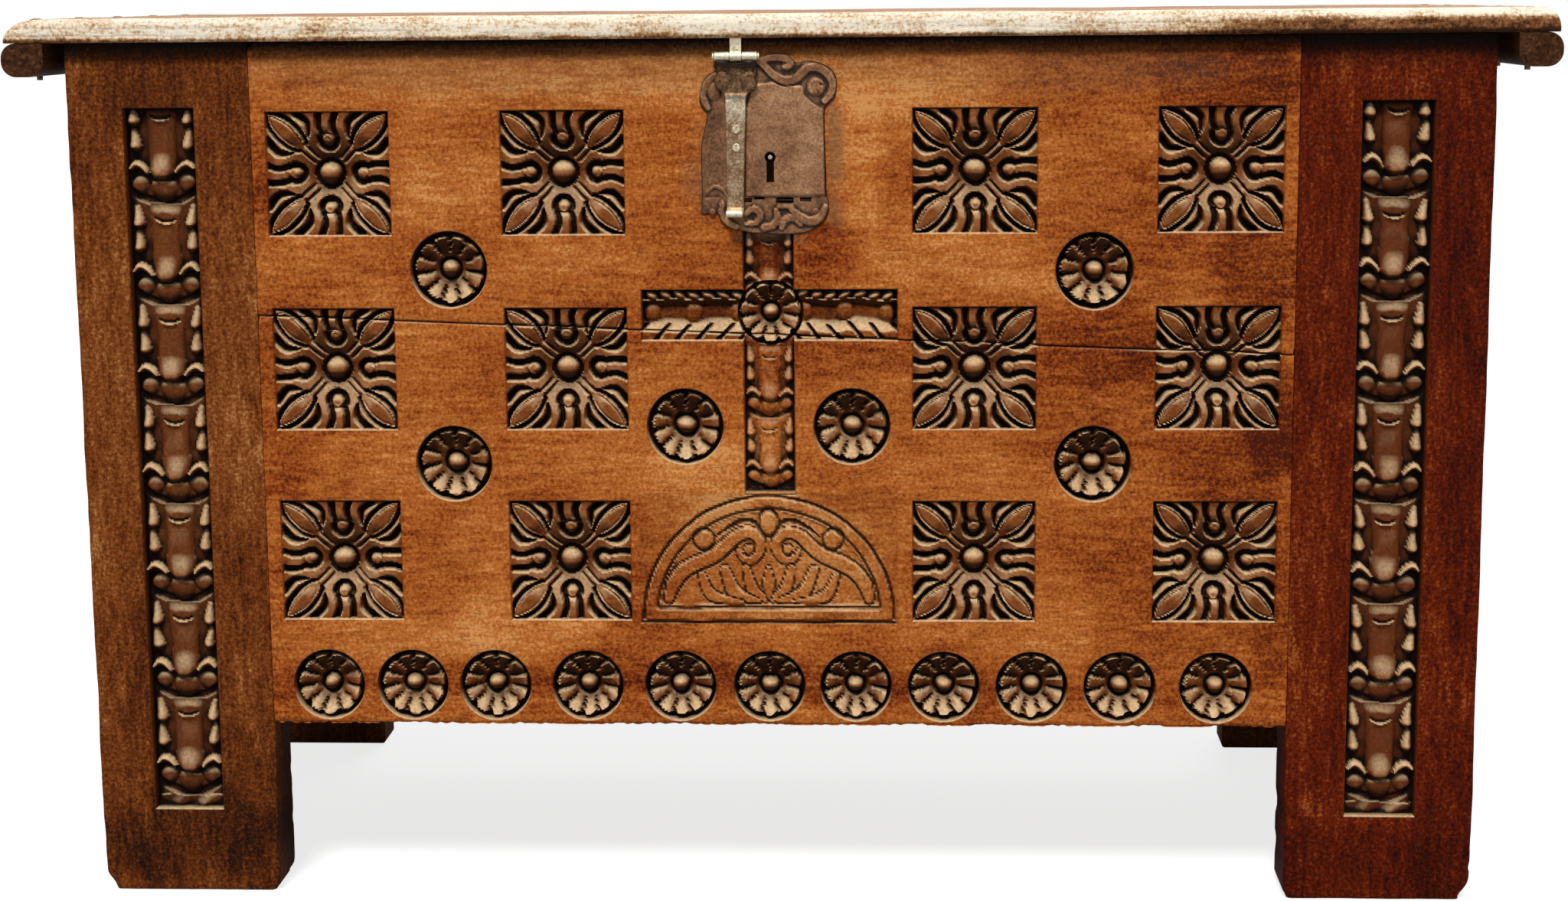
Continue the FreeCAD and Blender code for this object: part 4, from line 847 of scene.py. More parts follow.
# %% Say where a board is worn
def board_marks(x, z, on_face, seam_dirt):
    """Stain in the carving and along its lips, dirt and painted shade in what lies deep, a painted
    shadow under the lid, and rubbed crests.
    """
    proud = wear(front_depth, x, z)
    held = [carving.holds(x, z, 0.4) for carving in ornaments]
    in_carving, drawn = np.any(held, axis=0), lunette.holds(x, z, -0.2)
    stained = np.max([carving.stain * each for carving, each in zip(ornaments, held)], axis=0)
    lip = np.abs(np.min([carving.outside(x, z) for carving in sunk], axis=0)) < 1.2
    to_seam = np.abs(z - seam(x))
    seam_lip = ease(3.2, 1.2, to_seam) * ease(-0.5, 0.9, waver(x, 0, 80, 23))
    # dirt and painted shade in the carving's deep places, the seam's dark line, and the painted shadow under the lid
    hollow = np.maximum(ease(0.2, 3.2, proud), 0.55 * ease(8.0, 15.5, front_depth(x, z))) * in_carving
    hollow = np.where(drawn, 0.85 * ease(0.6, 2.4, proud), hollow * on_face)
    hollow = np.max([hollow, seam_dirt * ease(1.1, 0.4, to_seam) * on_face, lid_shadow(z) * on_face], axis=0)
    return {
        "carved": np.max([stained, 0.6 * lip, 0.3 * seam_lip], axis=0) * on_face, "hollow": hollow,
        "grey": np.clip(blots(x, z, grey_stain_and_shade), 0, 1) * on_face, "tone": blots(x, z, board_tone),
        "crest": ease(0.8, 4.0, -proud) * in_carving * np.where(drawn, 0.3, 1.0) * on_face,
    }


# %% Carve the two front boards
def front_board(node, bottom, top, lower, tongue_heights, more_lines, seam_dirt):
    """One board between its bottom and top lines, with a tongue at each end."""
    outline = board_outline(bottom, top)
    net = grid_of(np.arange(left_x + 6, right_x - 4, 13.0), np.arange(foot_z + 6, rim_z - 4, 13.0))
    lines, loose = laid_out(outline, (0.5, 1.3, 2.4), ornaments, net)
    points, faces, flat = slab([outline], lines + more_lines, loose, partial(board_face, lower), board_back)
    marks = board_marks(*flat.T, points[:, 1] < board_back - 1, seam_dirt)
    sides = ((left_x - tongue_length, left_x), (right_x, right_x + tongue_length))
    tongues, tongue_faces = boxes(*[(side, tongue_y, heights) for side, heights in zip(sides, tongue_heights)])
    piece("carved_" + node, np.vstack([points, tongues]), np.vstack([faces, tongue_faces + len(points)]),
          "case", front_oak, node, "waxed_oak", **marks)


base, top_x = np.arange(left_x, right_x + 1, 3.0), np.arange(right_x, left_x - 1, -2.0)
chips = np.clip(waver(base, 0, 46, 21) * 1.3 + waver(base, 0, 13, 22) - 0.6, -1.2, 2.2)
chips = chips * ease(left_x, left_x + 9, base) * ease(right_x, right_x - 9, base)
front_board("front_board_lower", np.c_[base, foot_z + chips], np.c_[top_x, seam(top_x) - half_gap], True,
            [((foot_z + chips).min() + 6, seam_left - 30), ((foot_z + chips).min() + 6, seam_right - 30)], [], 0.4)

base, top_x = np.arange(left_x, right_x + 1, 2.0), np.arange(right_x, left_x - 1, -10.0)
x0, x1, z0, z1 = pocket
pocket_lines = [framed(x0 - gap, x1 + gap, z0 - gap, z1 + gap, 4) for gap in (0.0, 0.6)]
front_board("front_board_upper", np.c_[base, seam(base) + half_gap], np.c_[top_x, np.full(len(top_x), rim_z)], False,
            [((seam(base) + half_gap).min() + 6, rim_z - 6), (seam_left, rim_z - 6)], pocket_lines, 0.9)

# %% [markdown]
# ## The front stiles
# The stiles are single planks that run down as feet. They are made like the boards, from a slab with
# one long carved strip. The feet stand on a floor that is washed, so their lower corners are soft and
# chipped.

# %% Outline a stile
stile_back = -239.0


def stile_outline(x0, x1, outer, rise, seed):
    """A plank that is worn at the foot and a little uneven along its outer edge: outline, left and right."""
    chips, inner_chips = (np.clip(waver(rise, 0, *wave), 0, 1) for wave in ((24, seed + 2), (30, seed + 3)))
    wobble = 0.5 * waver(rise, 0, 150, seed) + 0.25 * waver(rise, 0, 31, seed + 1)
    outer_wear = wobble + 9 * ease(26, 2, rise) ** 2 + 2.2 * ease(90, 5, rise) * chips
    inner_wear = 5 * ease(14, 1, rise) ** 2 + 1.6 * ease(foot_z, foot_z - 6, rise) * inner_chips
    left = x0 + (outer_wear if outer == x0 else inner_wear)
    right_side = x1 - (outer_wear if outer == x1 else inner_wear)
    floor_x = np.linspace(left[0], right_side[0], 60)[1:-1]
    foot = np.c_[floor_x, 0.8 * np.clip(waver(floor_x, 0, 25, seed + 4), 0, 1)]
    top = np.c_[np.linspace(x1, x0, 20)[1:-1], np.full(18, rim_z)]
    return np.vstack([foot, np.c_[right_side, rise], top, np.c_[left, rise][::-1]]), left, right_side


# %% Carve the two front stiles
def front_stile(node, x0, x1, strip_x, finish, tones, shadow_from, seed):
    """A plank with its carved strip, hollowed by a plane here and there, its arrises rounder at the foot."""
    rise = np.linspace(0, rim_z, 240)
    outline, left, right_side = stile_outline(x0, x1, x0 if strip_x < 0 else x1, rise, seed)
    strip = Ornament(chain_motif, strip_x, strip_middle, 35, 359, step=1.4, seed=seed + 6, bend=1.1)
    lines, loose = laid_out(outline, (0.6, 1.6, 3.0), [strip],
                            grid_of(np.arange(x0 + 8, x1 - 6, 12.0), np.arange(8, rim_z - 6, 12.0)))

    def depth_at(x, z):
        plain = 0.5 * waver(x, z * 0.4, 120, seed + 7) + 0.15 * waver(x, z * 0.2, 20, seed + 8)
        return carved_into(plain, [strip], x, z)

    def face(x, z):
        near_edge = np.minimum(np.interp(z, rise, right_side) - x, x - np.interp(z, rise, left))
        arris = edge_rounding(np.maximum(near_edge, 0), 1.6 + 3.5 * ease(120, 0, z))
        return front_y + depth_at(x, z) + lip_rounding(strip.outside(x, z)) + arris + edge_rounding(z, 4.0)

    points, faces, flat = slab([outline], lines, loose, face, stile_back)
    x, z = flat.T
    on_face = points[:, 1] < stile_back - 3
    held, proud = strip.holds(x, z, 0.4) * on_face, wear(depth_at, x, z)
    dirt = np.maximum(ease(0.2, 3.4, proud), 0.55 * ease(8.0, 15, depth_at(x, z))) * held
    # dirt and painted shade in the strip's deep places, a painted shadow under the lid, and the foot's side faces
    # painted darker, as shade
    piece("carved_" + node, points, faces, "case", finish, node, "dark_oak",
          carved=np.maximum(held * 1.0, 0.8 * (np.abs(strip.outside(x, z)) < 1.3)),
          hollow=np.maximum(dirt, lid_shadow(z, shadow_from) * on_face),
          crest=np.maximum(ease(0.8, 4.0, -proud), 0.14) * held,
          tone=blots(x, z, tones) - 0.4 * ~on_face * (z < foot_z))


left_tone = [(-600, 840, 90, 80, -0.1), (-660, 120, 60, 150, -0.18), (-560, 100, 50, 90, -0.12),
             (-545, 470, 24, 90, 0.14), (-600, 60, 120, 60, -0.16)]
right_tone = [(606, 640, 140, 260, 0.04), (600, 860, 110, 60, 0.12), (530, 300, 24, 200, 0.12),
              (600, 40, 110, 40, -0.1), (680, 500, 30, 200, -0.08)]
front_stile("front_stile_left", -700.0, left_x, -609, left_oak, left_tone, 850.0, 200)
front_stile("front_stile_right", right_x, 700.0, 607.5, right_oak, right_tone, 836.0, 220)

# %% [markdown]
# ## The lid
# Each lid board is a section carried along its length. The section is a closed line round the plank,
# with most of its points on the outer edge, where a century of knocks has opened the grain. Splits
# there are long thin valleys, and underneath there are shallow beds for the iron straps.

# %% The section, and where it is repeated
hinge_x, hasp_x, lid_end, lid_thick, barrel_y = (-420.0, 420.0), -35.0, 755.0, 24.0, 311


def lid_section(split_y, outer_y, way):
    """Its points in y and z: the underside, a low arris 4 mm round, the edge, a top arris 10 mm round, the top."""
    flat_end = outer_y - way * 4
    bed_ends = [y for y in (-313.7, -313.3, -191.7, -191.3, -19.2, -18.8, 304.8, 305.2, *np.arange(306.5, 316, 1.5))
                if min(split_y, flat_end) < y < max(split_y, flat_end)]
    under = np.array(sorted([*np.linspace(split_y, flat_end, 14), *bed_ends], reverse=way < 0))
    low_turn, high_turn = np.linspace(0, np.pi / 2, 6)[1:], np.linspace(0, np.pi / 2, 9)
    y = np.r_[under, outer_y - way * 4 * (1 - np.sin(low_turn)), np.full(13, outer_y),
              outer_y - way * 10 * (1 - np.cos(high_turn)), np.linspace(outer_y - way * 10, split_y, 22)[1:]]
    z = np.r_[np.zeros(len(under)), 4 * (1 - np.cos(low_turn)), np.linspace(4, 14, 15)[1:-1],
              14 + 10 * np.sin(high_turn), np.full(21, lid_thick)]
    return y, z


def lid_columns(apart):
    """Its places in x: that far apart, closer at both ends, and at either side of each bed's edges."""
    x = np.linspace(-lid_end, lid_end, int(2 * lid_end / apart))
    ends = lid_end - np.array([0, 0.6, 1.5, 3, 5, 7.5, 10.5, 14, 18, 23])
    widths = [(centre, half) for centre in hinge_x for half in (17, 20.5)] + [(hasp_x, 11)]
    beds = [centre + side * half + past for centre, half in widths for side in (-1, 1) for past in (-0.2, 0.2)]
    return np.unique(np.r_[x[np.abs(x) < lid_end - 25], ends, -ends, beds])


print("the lid's section has", len(lid_section(7.6, -322.0, -1)[0]), "points")


# %% Knocks, splits and beds
def splits(x, z):
    """Twenty-two thin valleys along the grain, each exp(-distance squared) across and fading at its ends."""
    dice = np.random.default_rng(31)
    deep = np.zeros(x.shape)
    for _ in range(22):
        spans = ((-750, 750), (3, 21), (40, 170), (-0.02, 0.02))
        middle, height, length, lean = (dice.uniform(*span) for span in spans)
        off = (z - height - lean * (x - middle) - 0.8 * waver(x, 0, 60, 35)) / dice.uniform(0.7, 1.5)
        valley = dice.uniform(0.1, 0.5) * np.exp(-(off**2)) * ease(1, 0.7, np.abs(x - middle) / length)
        deep = np.maximum(deep, valley)
    return deep


def knocks(x, z):
    """How far the outer edge is worn in: slow waves, and bites out of its lower corner."""
    push = 0.7 + 0.9 * waver(x, z, 170, 32) + 0.4 * waver(x, z * 1.5, 42, 33) + 0.2 * waver(x, z, 13, 34)
    return push + 2.4 * np.clip(waver(x, 0, 75, 36) + 0.6 * waver(x, 0, 21, 37) - 0.35, 0, 1.4) * ease(9, 1, z)


def bedded(x, y, z):
    """The underside, 3 mm up over each strap, and sqrt(36 - distance squared) up round each barrel."""
    below = z < 0.5
    for centre in hinge_x:
        off = np.abs(x - centre)
        z = np.where(below & (off < 17) & (y > -19) & (y < barrel_y), 3.0, z)
        room = np.sqrt(np.clip(36 - (y - barrel_y) ** 2, 9 * (off < 17), 36))
        z = np.where(below & (off < 20.5) & (np.abs(y - barrel_y) < 6), room, z)
    return np.where(below & (np.abs(x - hasp_x) < 11) & (y > -313.5) & (y < -191.5), 3.0, z)


def woven(rows, closed=False):
    """The quads between rows of points, each row a closed ring; closed joins the last row to the first."""
    n, m = rows.shape[:2]
    index = np.arange(n * m).reshape(n, m)
    upper = index if closed else index[:-1]
    lower = np.roll(index, -1, axis=0)[: len(upper)]
    return np.stack([upper, lower, np.roll(lower, -1, axis=1), np.roll(upper, -1, axis=1)], -1).reshape(-1, 4)


# %% Shape the two lid boards
def lid_board(node, split_y, outer_y, apart):
    """A plank from the split to its outer edge; its ends fall in a quarter ellipse, longer at the left."""
    way = 1 if outer_y > split_y else -1
    y, z = lid_section(split_y, outer_y, way)
    x = lid_columns(apart)
    nose, fall = np.where(x < 0, 36.0, 17.0), np.where(x < 0, 19.0, 16.0)
    drop = fall * (1 - np.sqrt(1 - np.clip(1 - (lid_end - np.abs(x)) / nose, 0, 1) ** 2))
    x, y = np.meshgrid(x, y, indexing="ij")
    z = z * ((lid_thick - drop) / lid_thick)[:, None]
    edge = ease(0, 5, np.abs(y - split_y) - (abs(outer_y - split_y) - 14))
    split = splits(x, z)
    y = y - way * edge * (knocks(x, z) + split)
    top = ease(20, 24, z) * ease(0, 12, np.abs(y - outer_y))
    z = z - top * (0.5 + 0.4 * waver(x, y, 260, 38) + 0.15 * waver(x * 0.3, y, 24, 39))
    from_split = np.abs(y - split_y)
    z = bedded(x, y, np.where(z > 12, z - edge_rounding(from_split, 2.0), z))
    rows = np.stack([x, y, z + rim_z], -1)
    quads, last = woven(rows), rows[..., 0].size - len(y[0])
    caps = [list(range(len(y[0]))), list(range(last, last + len(y[0])))[::-1]]
    if way > 0:
        quads, caps = quads[:, ::-1], [cap[::-1] for cap in caps]
    # the outer edge is painted paler, with a painted highlight, and its lower arris darker, as painted shade; its
    # lower part is darker towards the right and at the left end, and away from the edge the plank is darker low down
    pale = (1 if way < 0 else 0.5) * edge * (0.44 - 0.42 * ease(6, 2, z) + 0.12 * waver(x, z * 3, 70, 40))
    pale = pale - edge * (0.7 * ease(330, 520, x) * ease(19, 11, z) + 0.14 * ease(-640, -745, x))
    hollow = 0.12 * np.clip(split / 0.4, 0, 1) * edge + 0.6 * ease(1.6, 0.4, from_split) * (z > 12)
    piece("worn_" + node, rows.reshape(-1, 3), quads.tolist() + caps, "lid", lid_oak, node, "lid_oak", sharp=42,
          tone=(pale - 0.24 * (1 - edge) * ease(12, 4, z)).ravel(), hollow=np.clip(hollow, 0, 1).ravel())


lid_board("lid_board_front", 7.6, -322.0, 2.4)
lid_board("lid_board_rear", 8.4, 322.0, 5.0)

# %% [markdown]
# ## The lock plate
# The smith cut the plate from sheet iron 2.5 mm thick, chiselled scrolls into its border, pierced it
# between them, and dressed a raised panel in the middle for the keyhole. It is a slab like the boards:
# an outline, holes, and a height for every point. The scrolls are the same ribs as the carving, only
# they stand up instead of down.

# %% The scrolls and the panel
plate_ground, plate_back = -305.8, -303.4
plate_line = np.array([
    (-10.7, 852.5), (-3, 854.7), (7.7, 855.2), (16, 853.8), (21, 848.8), (24.3, 846.5), (30.4, 847.9),
    (38.1, 848.2), (48.7, 845.5), (57.8, 840.2), (62.8, 831.9), (63, 823.6), (61.4, 813), (56.1, 807),
    (51.5, 801), (51.1, 785.8), (51.5, 763), (52.3, 740.2), (52.5, 721.8), (54.8, 709.6), (53.1, 697.3),
    (46.2, 688.9), (35.4, 682), (24.6, 679.8), (9.2, 679.1), (-6.2, 679.9), (-21.6, 680.7), (-32.4, 683.1),
    (-40.1, 683.9), (-47.7, 687.8), (-52.6, 694.7), (-53.8, 699.3), (-63, 699.4), (-70.7, 700.7),
    (-70.2, 717.8), (-70.2, 762.2), (-68.1, 777.4), (-64.1, 795.7), (-69.3, 803.3), (-71.5, 812.4),
    (-69.3, 824.5), (-65.9, 832), (-58.1, 838), (-45.9, 842.5),
])[::-1]
panel_line = np.array([(-27.4, 716), (52.5, 717), (50.5, 801), (40, 808), (32, 815), (30, 825), (10.4, 824.7),
                       (1.3, 828.5), (-20, 826), (-27, 800)])
scrolls = [
    ([(-12.4, 848.5), (-5.4, 851.5), (4.7, 852.4), (13.5, 851), (18, 847.5), (16.8, 843.5), (12.2, 842.8)],
     (3.4, 3.6, 3.2, 2.2), 2.6, 19),
    ([(-10.5, 846.7), (-4.2, 840.8), (2, 834.7), (12.1, 829.6), (22.2, 830.8), (29.8, 837.6), (36.1, 842),
      (46.2, 841.5), (55, 835), (59.6, 825.6), (57, 816.8), (51.5, 809.5)], (2.6, 3.6, 3.8, 3.4, 2.6), 2.7, 34),
    ([(-47, 837.5), (-57, 834), (-65.5, 826), (-67.5, 814), (-62.5, 803)], (2.0, 3.0, 3.0, 2.2), 2.4, 13),
    ([(18, 704), (26, 697), (36.4, 692), (46, 696), (51.5, 706)], (2.4, 3.6, 3.8, 2.6), 2.6, 13),
    ([(8.3, 686), (11.6, 693.5), (19.9, 695.6), (27, 689)], (2.2, 3.2, 2.0), 2.3, 11),
    ([(3, 703.5), (4.4, 695), (0, 688.5), (-9, 686)], (2.0, 3.2, 3.0), 2.2, 11),
    ([(-50, 709.7), (-51, 700.1), (-45.5, 691.8), (-37, 687)], (2.2, 2.8, 2.6), 2.4, 11),
    ([(-27, 700), (-19, 704.5), (-12.5, 699), (-17, 691), (-27, 690)], (2.2, 3.0, 2.6, 1.8), 2.2, 13),
    ([(-65.2, 720.5), (-58.8, 726.2), (-52.4, 725.5), (-47.4, 721.1), (-44.9, 716.6)], (1.0, 1.6, 1.0), 1.4, 11),
    ([(5.5, 707), (18.5, 707)], (1.8, 1.8), 2.8, 3),
]


def plate_relief(x, z):
    """How far the plate stands above its ground: hammered waves, a raised panel, and flat-backed scrolls."""
    high = 0.24 * waver(x, z, 24, 500) + 0.14 * waver(x, z, 9, 501)
    in_panel = inside(np.c_[x.ravel(), z.ravel()], panel_line).reshape(np.shape(x))
    high = high + 1.7 * ease(0.0, 1.5, from_loop(x, z, panel_line)) * in_panel
    for points, widths, height, count in scrolls:
        scroll = rib(x, z, points, [1.3 * width for width in widths], count)
        high = np.maximum(high, height * np.minimum(1.5 * scroll, 1))
    high = np.maximum(high, 2.0 * ease(9.5, 7.0, np.hypot(x - 43, z - 823.2)))
    high = np.maximum(high, 2.6 * dome(np.hypot((x + 57.5) / 7.5, (z - 820) / 9.4), 1.0))
    for pit_x, pit_z in ((48, 825.6), (44.2, 817.5), (60, 707)):
        high = high - 1.7 * ease(2.4, 0.8, np.hypot(x - pit_x, z - pit_z))
    return high - 0.7 * ease(1.6, 0.4, np.abs(z - 716.7)) * ease(-51, -54, x) * ease(-70, -66, x)


def plate_face(x, z):
    """The plate's front in y, with its outer edge filed round."""
    return plate_ground - plate_relief(x, z) + edge_rounding(from_loop(x, z, plate_outline), 1.1)


# %% Cut the lock plate
plate_outline = curve_through(np.vstack([plate_line, plate_line[:1]]), 300)[:-1]
turn = np.linspace(-math.radians(47), math.radians(227), 22)
keyhole = np.vstack([np.c_[-2.5 + 5.5 * np.cos(turn), 755 + 5.5 * np.sin(turn)],
                     np.c_[np.full(8, -6.25), np.linspace(750, 730.5, 8)],
                     np.c_[np.full(8, 1.25), np.linspace(730.5, 750, 8)]])
piercings = ((-28.3, -20.7, 711, 715), (-18.5, -8, 713.5, 716), (3.2, 20.2, 710.4, 715.6),
             (26.4, 37.8, 711.6, 715.4), (-37.9, -32.1, 757.3, 786.2))
holes = [framed(*sides, 1.6) for sides in piercings] + [keyhole]
net = grid_of(np.arange(-70, 62, 1.25), np.arange(680, 855, 1.25))
net = net[inside(net, inset(plate_outline, 2.2))]
for hole in holes:
    net = net[~inside(net, inset(hole, -0.9))]
near_lines = [inset(plate_outline, distance) for distance in (0.6, 1.3)]
points, faces, flat = slab([plate_outline] + holes, near_lines, net, plate_face, plate_back)
x, z = flat.T
proud = wear(lambda x, z: -plate_relief(x, z), x, z, cell=1.0, cells=3)
on_panel = inside(flat, panel_line) * 1.0
# a dark line round the plate's edge and down the panel's right side: painted shadow
edge_shadow = 0.9 * ease(1.6, 0.4, from_loop(x, z, plate_outline))
edge_shadow = edge_shadow + 0.9 * groove(np.abs(x - 51.5) / 1.6) * (np.abs(z - 760) < 46)
plate_tone = 0.08 * on_panel - 0.16 * ease(-44, -52, x) * ease(806, 796, z)
plate_tone = plate_tone + blots(x, z, [(10, 800, 30, 22, 0.06), (-20, 735, 14, 22, -0.1), (35, 735, 18, 26, 0.05)])
piece("scrolled_lock_plate", points, faces, "case", brown_iron, "lock_plate", "wrought_iron", sharp=50,
      tone=plate_tone, hollow=np.maximum(ease(0.1, 0.75, proud), edge_shadow),
      crest=0.6 * ease(0.3, 1.4, -proud) * (1 - 0.7 * on_panel))

# %% [markdown]
# ## The hasp
# The hasp is one forging: a lobed head that carries two knuckles for the pin, a bar that narrows
# downwards, and a lip curled forward for the finger. The bar is a slab again. The knuckles are a ring
# section turned about the pin's line, and the lip is a section drawn out sideways. All three overlap,
# as the forged metal runs together.

# %% Sections that are turned or drawn out
def turned(section, y, z, steps=36):
    """A closed section of (x, radius) points turned about the line through y and z."""
    turn = np.arange(steps)[:, None] * 2 * np.pi / steps
    x, radius = section[:, 0] + 0 * turn, section[:, 1] + 0 * turn
    rows = np.stack([x, y + radius * np.cos(turn), z + radius * np.sin(turn)], -1)
    return rows.reshape(-1, 3), woven(rows, True)[:, ::-1].tolist()


def drawn_out(section, x0, x1, soft):
    """A closed section of (y, z) points carried from x0 to x1, drawn in by that much at both ends."""
    steps = [(x0, soft), (x0 + 0.3 * soft, 0.4 * soft), (x0 + soft, 0),
             (x1 - soft, 0), (x1 - 0.3 * soft, 0.4 * soft), (x1, soft)]
    rows = np.stack([np.c_[np.full(len(section), x), inset(section, inward)] for x, inward in steps])
    count = len(section)
    caps = [list(range(count))[::-1], list(range(5 * count, 6 * count))]
    return rows.reshape(-1, 3), woven(rows)[:, ::-1].tolist() + caps


# %% The hasp's outline and face
pin_y, pin_z, hasp_ground, hasp_back = -311.5, 853.5, -313.9, -310.6
hasp_right = [(6.6, 704.5), (7.2, 730), (8.2, 765), (9.4, 800), (9.8, 813), (12.5, 817.5), (18, 820),
              (20.6, 826), (18.2, 832), (20.6, 837.5), (20.8, 844), (19.5, 850.4)]
hasp_left = [(-19.5, 850.4), (-21, 843), (-18.6, 836.5), (-21.2, 831), (-20, 824), (-14.5, 819.5), (-11, 814),
             (-10.6, 800), (-10.4, 765), (-10.2, 730), (-10, 704.5)]
hasp_outline = np.vstack([
    curve_through(hasp_right, 70), [(6.2, 850.4), (6.2, 847.6), (-6.2, 847.6), (-6.2, 850.4)],
    curve_through(hasp_left, 66), np.c_[np.linspace(-10, 6.6, 12)[1:-1], np.full(10, 704.5)]]) + (hasp_x, 0)


def hasp_relief(x, z):
    """How far its face stands out: two lobes at the head's sides, a collar under them, and a hammered bar."""
    u = np.abs(x - hasp_x)
    lobes = 1.5 * dome(np.hypot((u - 13.5) / 7.5, (z - 830) / 9), 1.0)
    lobes = lobes + 1.2 * dome(np.hypot((u - 13.5) / 6.5, (z - 845) / 6.5), 1.0)
    collar = 0.9 * groove(np.abs(z - 815.5) / 2.6) * ease(14, 10, u)
    return lobes + collar + 0.25 * waver(x, z, 17, 510) + 0.1 * waver(x, z, 6, 511)


def hasp_face(x, z):
    """The hasp's front in y, with its edges worn round."""
    return hasp_ground - hasp_relief(x, z) + edge_rounding(from_loop(x, z, hasp_outline), 1.5)


# %% Forge the hasp
net = grid_of(np.arange(-56, -14, 1.3), np.arange(705, 850, 1.3))
near_lines = [inset(hasp_outline, distance) for distance in (0.5, 1.3)]
net = net[inside(net, inset(hasp_outline, 2.0))]
bar, faces, flat = slab([hasp_outline], near_lines, net, hasp_face, hasp_back)
x, z = flat.T
proud = wear(lambda x, z: -hasp_relief(x, z), x, z, cell=1.0, cells=3)
# the head's top is painted dark, as the knuckles' shadow; the upper bar and the foot by the lip are paler, a painted
# sheen and highlight; the head below the knuckles is browner
bar_tone_and_light = 0.24 * ease(785, 792, z) * ease(818, 812, z) - 0.26 * ease(814, 820, z)
bar_tone_and_light = bar_tone_and_light - 0.4 * ease(838, 846, z) + 0.14 * ease(716, 708, z)
ring = np.array([(0, 2.6), (0.6, 2.5), (14.4, 2.5), (15, 2.6), (15, 3.8), (14.8, 4.2), (14.3, 4.4), (0.7, 4.4),
                 (0.2, 4.2), (0, 3.8)])
lip = curve_through([(-310.8, 706.5), (-310.8, 702.5), (-316, 700.4), (-322, 699.4), (-326.5, 697.8), (-330.2, 698.8),
                     (-331, 702), (-329, 704.6), (-325, 704.6), (-319, 704.2), (-314.4, 706.5)], 40)
points, faces = bar, faces.tolist()
for more, more_faces in (turned(ring + (hasp_x - 21, 0), pin_y, pin_z), turned(ring + (hasp_x + 6, 0), pin_y, pin_z),
                         drawn_out(lip[::-1], hasp_x - 10, hasp_x + 6.6, 0.9)):
    faces += [[i + len(points) for i in face] for face in more_faces]
    points = np.vstack([points, more])
# the knuckles and the lip are rubbed bright and carry a painted highlight; under the knuckles the head gets a painted
# shadow
piece("forged_hasp", points, faces, "hasp", bare_iron, "hasp_bar", "worn_iron", sharp=45,
      tone=np.pad(bar_tone_and_light, (0, len(points) - len(bar)), constant_values=0.5), crest=ease(0.3, 1.2, -proud),
      hollow=np.maximum(ease(0.1, 0.7, proud), 0.8 * ease(842, 848, z)))

# %% [markdown]
# ## Soft arrises on everything else
# Nothing on an old chest has a sharp corner. The plain boards and the rest of the ironwork keep their
# measured shape, holes and all. A copy is merged into one skin, its flat faces are joined up, and a
# small bevel with two steps softens each edge. A CAD mesh is loose triangles, so the merging comes
# first. The iron that rubs is brighter, and on the hasp's pin and strap that brightness is also a
# painted highlight. What hides in the dark is painted darker, as shade.

# %% Copy, merge and soften
def softened(node, width, finish, slot_name, tone):
    """A copy of a measured piece with edges rounded by that many millimetres."""
    source = frame["nodes"][node]
    mesh = bmesh.new()
    mesh.from_mesh(source.data)
    bmesh.ops.remove_doubles(mesh, verts=mesh.verts, dist=2e-6)
    bmesh.ops.dissolve_limit(mesh, angle_limit=math.radians(2), verts=mesh.verts, edges=mesh.edges)
    data = bpy.data.meshes.new("soft_" + node)
    mesh.to_mesh(data)
    mesh.free()
    data.materials.append(finish)
    tones = np.full(len(data.vertices), tone, np.float32)
    if node == "hasp_hinge_strap":  # only the part in front of the lid's edge is rubbed bright, with a painted highlight; under the lid it is painted darker, as shade
        front = np.array([vertex.co.y for vertex in data.vertices]) < -0.3055
        tones = np.where(front, tone, -0.3).astype(np.float32)
    data.attributes.new("tone", "FLOAT", "POINT").data.foreach_set("value", tones)
    data.shade_smooth()
    data.set_sharp_from_angle(angle=math.radians(35))
    made = placed("soft_" + node, data)
    bevel = made.modifiers.new("soft arris", "BEVEL")
    bevel.width, bevel.segments, bevel.limit_method, bevel.angle_limit = width / 1000, 2, "ANGLE", math.radians(35)
    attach(made, source["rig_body"])
    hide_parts(node)


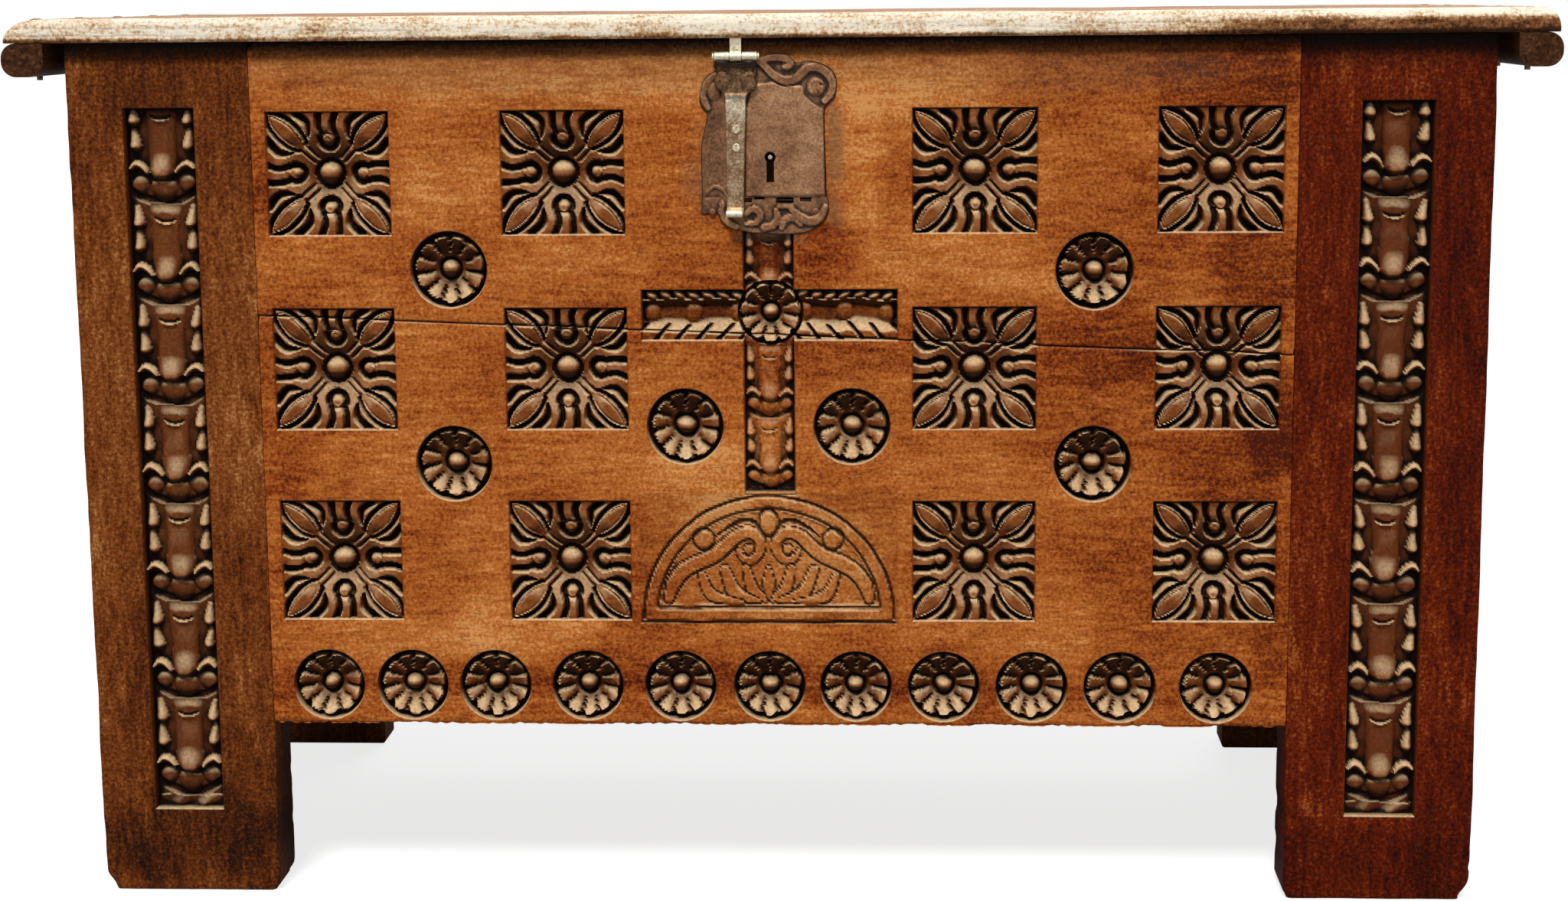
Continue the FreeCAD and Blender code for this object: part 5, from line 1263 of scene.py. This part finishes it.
kinds = {
    "rear_stile": (1.8, upright_oak, "oak", 0), "rear_board": (1.2, plain_oak, "oak", 0),
    "end_board": (1.2, end_oak, "oak", 0), "lid_cleat": (1.5, cleat_oak, "dark_oak", 0),
    "floor_ledger_front": (1.0, ledger_oak, "inner_oak", 0), "floor_ledger_rear": (1.0, ledger_oak, "inner_oak", 0),
    "floor_": (1.0, inner_oak, "inner_oak", 0), "hasp_staple": (0.6, bare_iron, "worn_iron", 0.35),
    "hasp_hinge_strap": (0.5, bare_iron, "worn_iron", 0.5), "hasp_pin": (0.5, bare_iron, "worn_iron", 0.5),
    "hinge_strap": (0.5, brown_iron, "wrought_iron", -0.4), "hinge_leaf": (0.5, brown_iron, "wrought_iron", -0.4),
    "hinge_pin": (0.4, brown_iron, "wrought_iron", 0.1), "lock_case": (0.4, brown_iron, "wrought_iron", -0.9),
    "lock_bolt": (0.3, bare_iron, "worn_iron", 0), "drill_pin": (0.3, bare_iron, "worn_iron", 0.4),
}
nails = (0.35, brown_iron, "wrought_iron", -0.05)
for name in frame["nodes"]:
    kind = next((kinds[start] for start in kinds if name.startswith(start)), None)
    if kind or name.endswith("nails"):
        softened(name, *(nails if name.endswith("nails") else kind))

# %% [markdown]
# ## Floor and light
# The floor is pale and plain. One lamp stands high in front and draws the carving and the shadow under
# the lid, a broad one above softens it, and a weak one behind keeps the back readable. The white
# surround is there for the camera and for reflections only, so it adds no light to the wood.

# %% Lay the floor and hang the lamps
floor_mesh = bpy.data.meshes.new("floor")
floor_mesh.from_pydata([(-30, -30, 0), (30, -30, 0), (30, 30, 0), (-30, 30, 0)], [], [(0, 1, 2, 3)])
floor = placed("floor", floor_mesh)
floor_mesh.materials.append(bpy.data.materials.new("pale floor"))
tree = empty_tree(floor_mesh.materials[0])
seen = add(tree, "LightPath", out="Is Camera Ray")
matt = add(tree, "BsdfDiffuse", linear("#a8a8a8"))
lift = add(tree, "Emission", (1, 1, 1, 1), add(tree, "MapRange", seen, 0, 1, 0, 0.78))
add(tree, "OutputMaterial", add(tree, "AddShader", matt, lift))

bpy.context.scene.world = bpy.data.worlds.new("studio")
tree = empty_tree(bpy.context.scene.world)
seen, mirrored, passed = (add(tree, "LightPath", out=f"Is {ray} Ray") for ray in ("Camera", "Glossy", "Transmission"))
white = add(tree, "Math", seen, add(tree, "Math", mirrored, passed, operation="MAXIMUM"), operation="MAXIMUM")
add(tree, "OutputWorld", add(tree, "Background", (1, 1, 1, 1), add(tree, "MapRange", white, 0, 1, 0.16, 1)))

# each lamp: strength, degrees above the floor, degrees round from the front, and how wide it looks
lamps = (("key", 2.6, 51, -8, 13), ("top", 0.9, 72, 6, 25), ("back", 0.7, 40, 170, 30))
for name, strength, height, side, spread in lamps:
    lamp = bpy.data.lights.new(name, "SUN")
    lamp.energy, lamp.angle = strength, math.radians(spread)
    placed(name, lamp).rotation_euler = (math.radians(90 - height), 0, math.radians(side))
bpy.context.scene.view_settings.view_transform = "Standard"
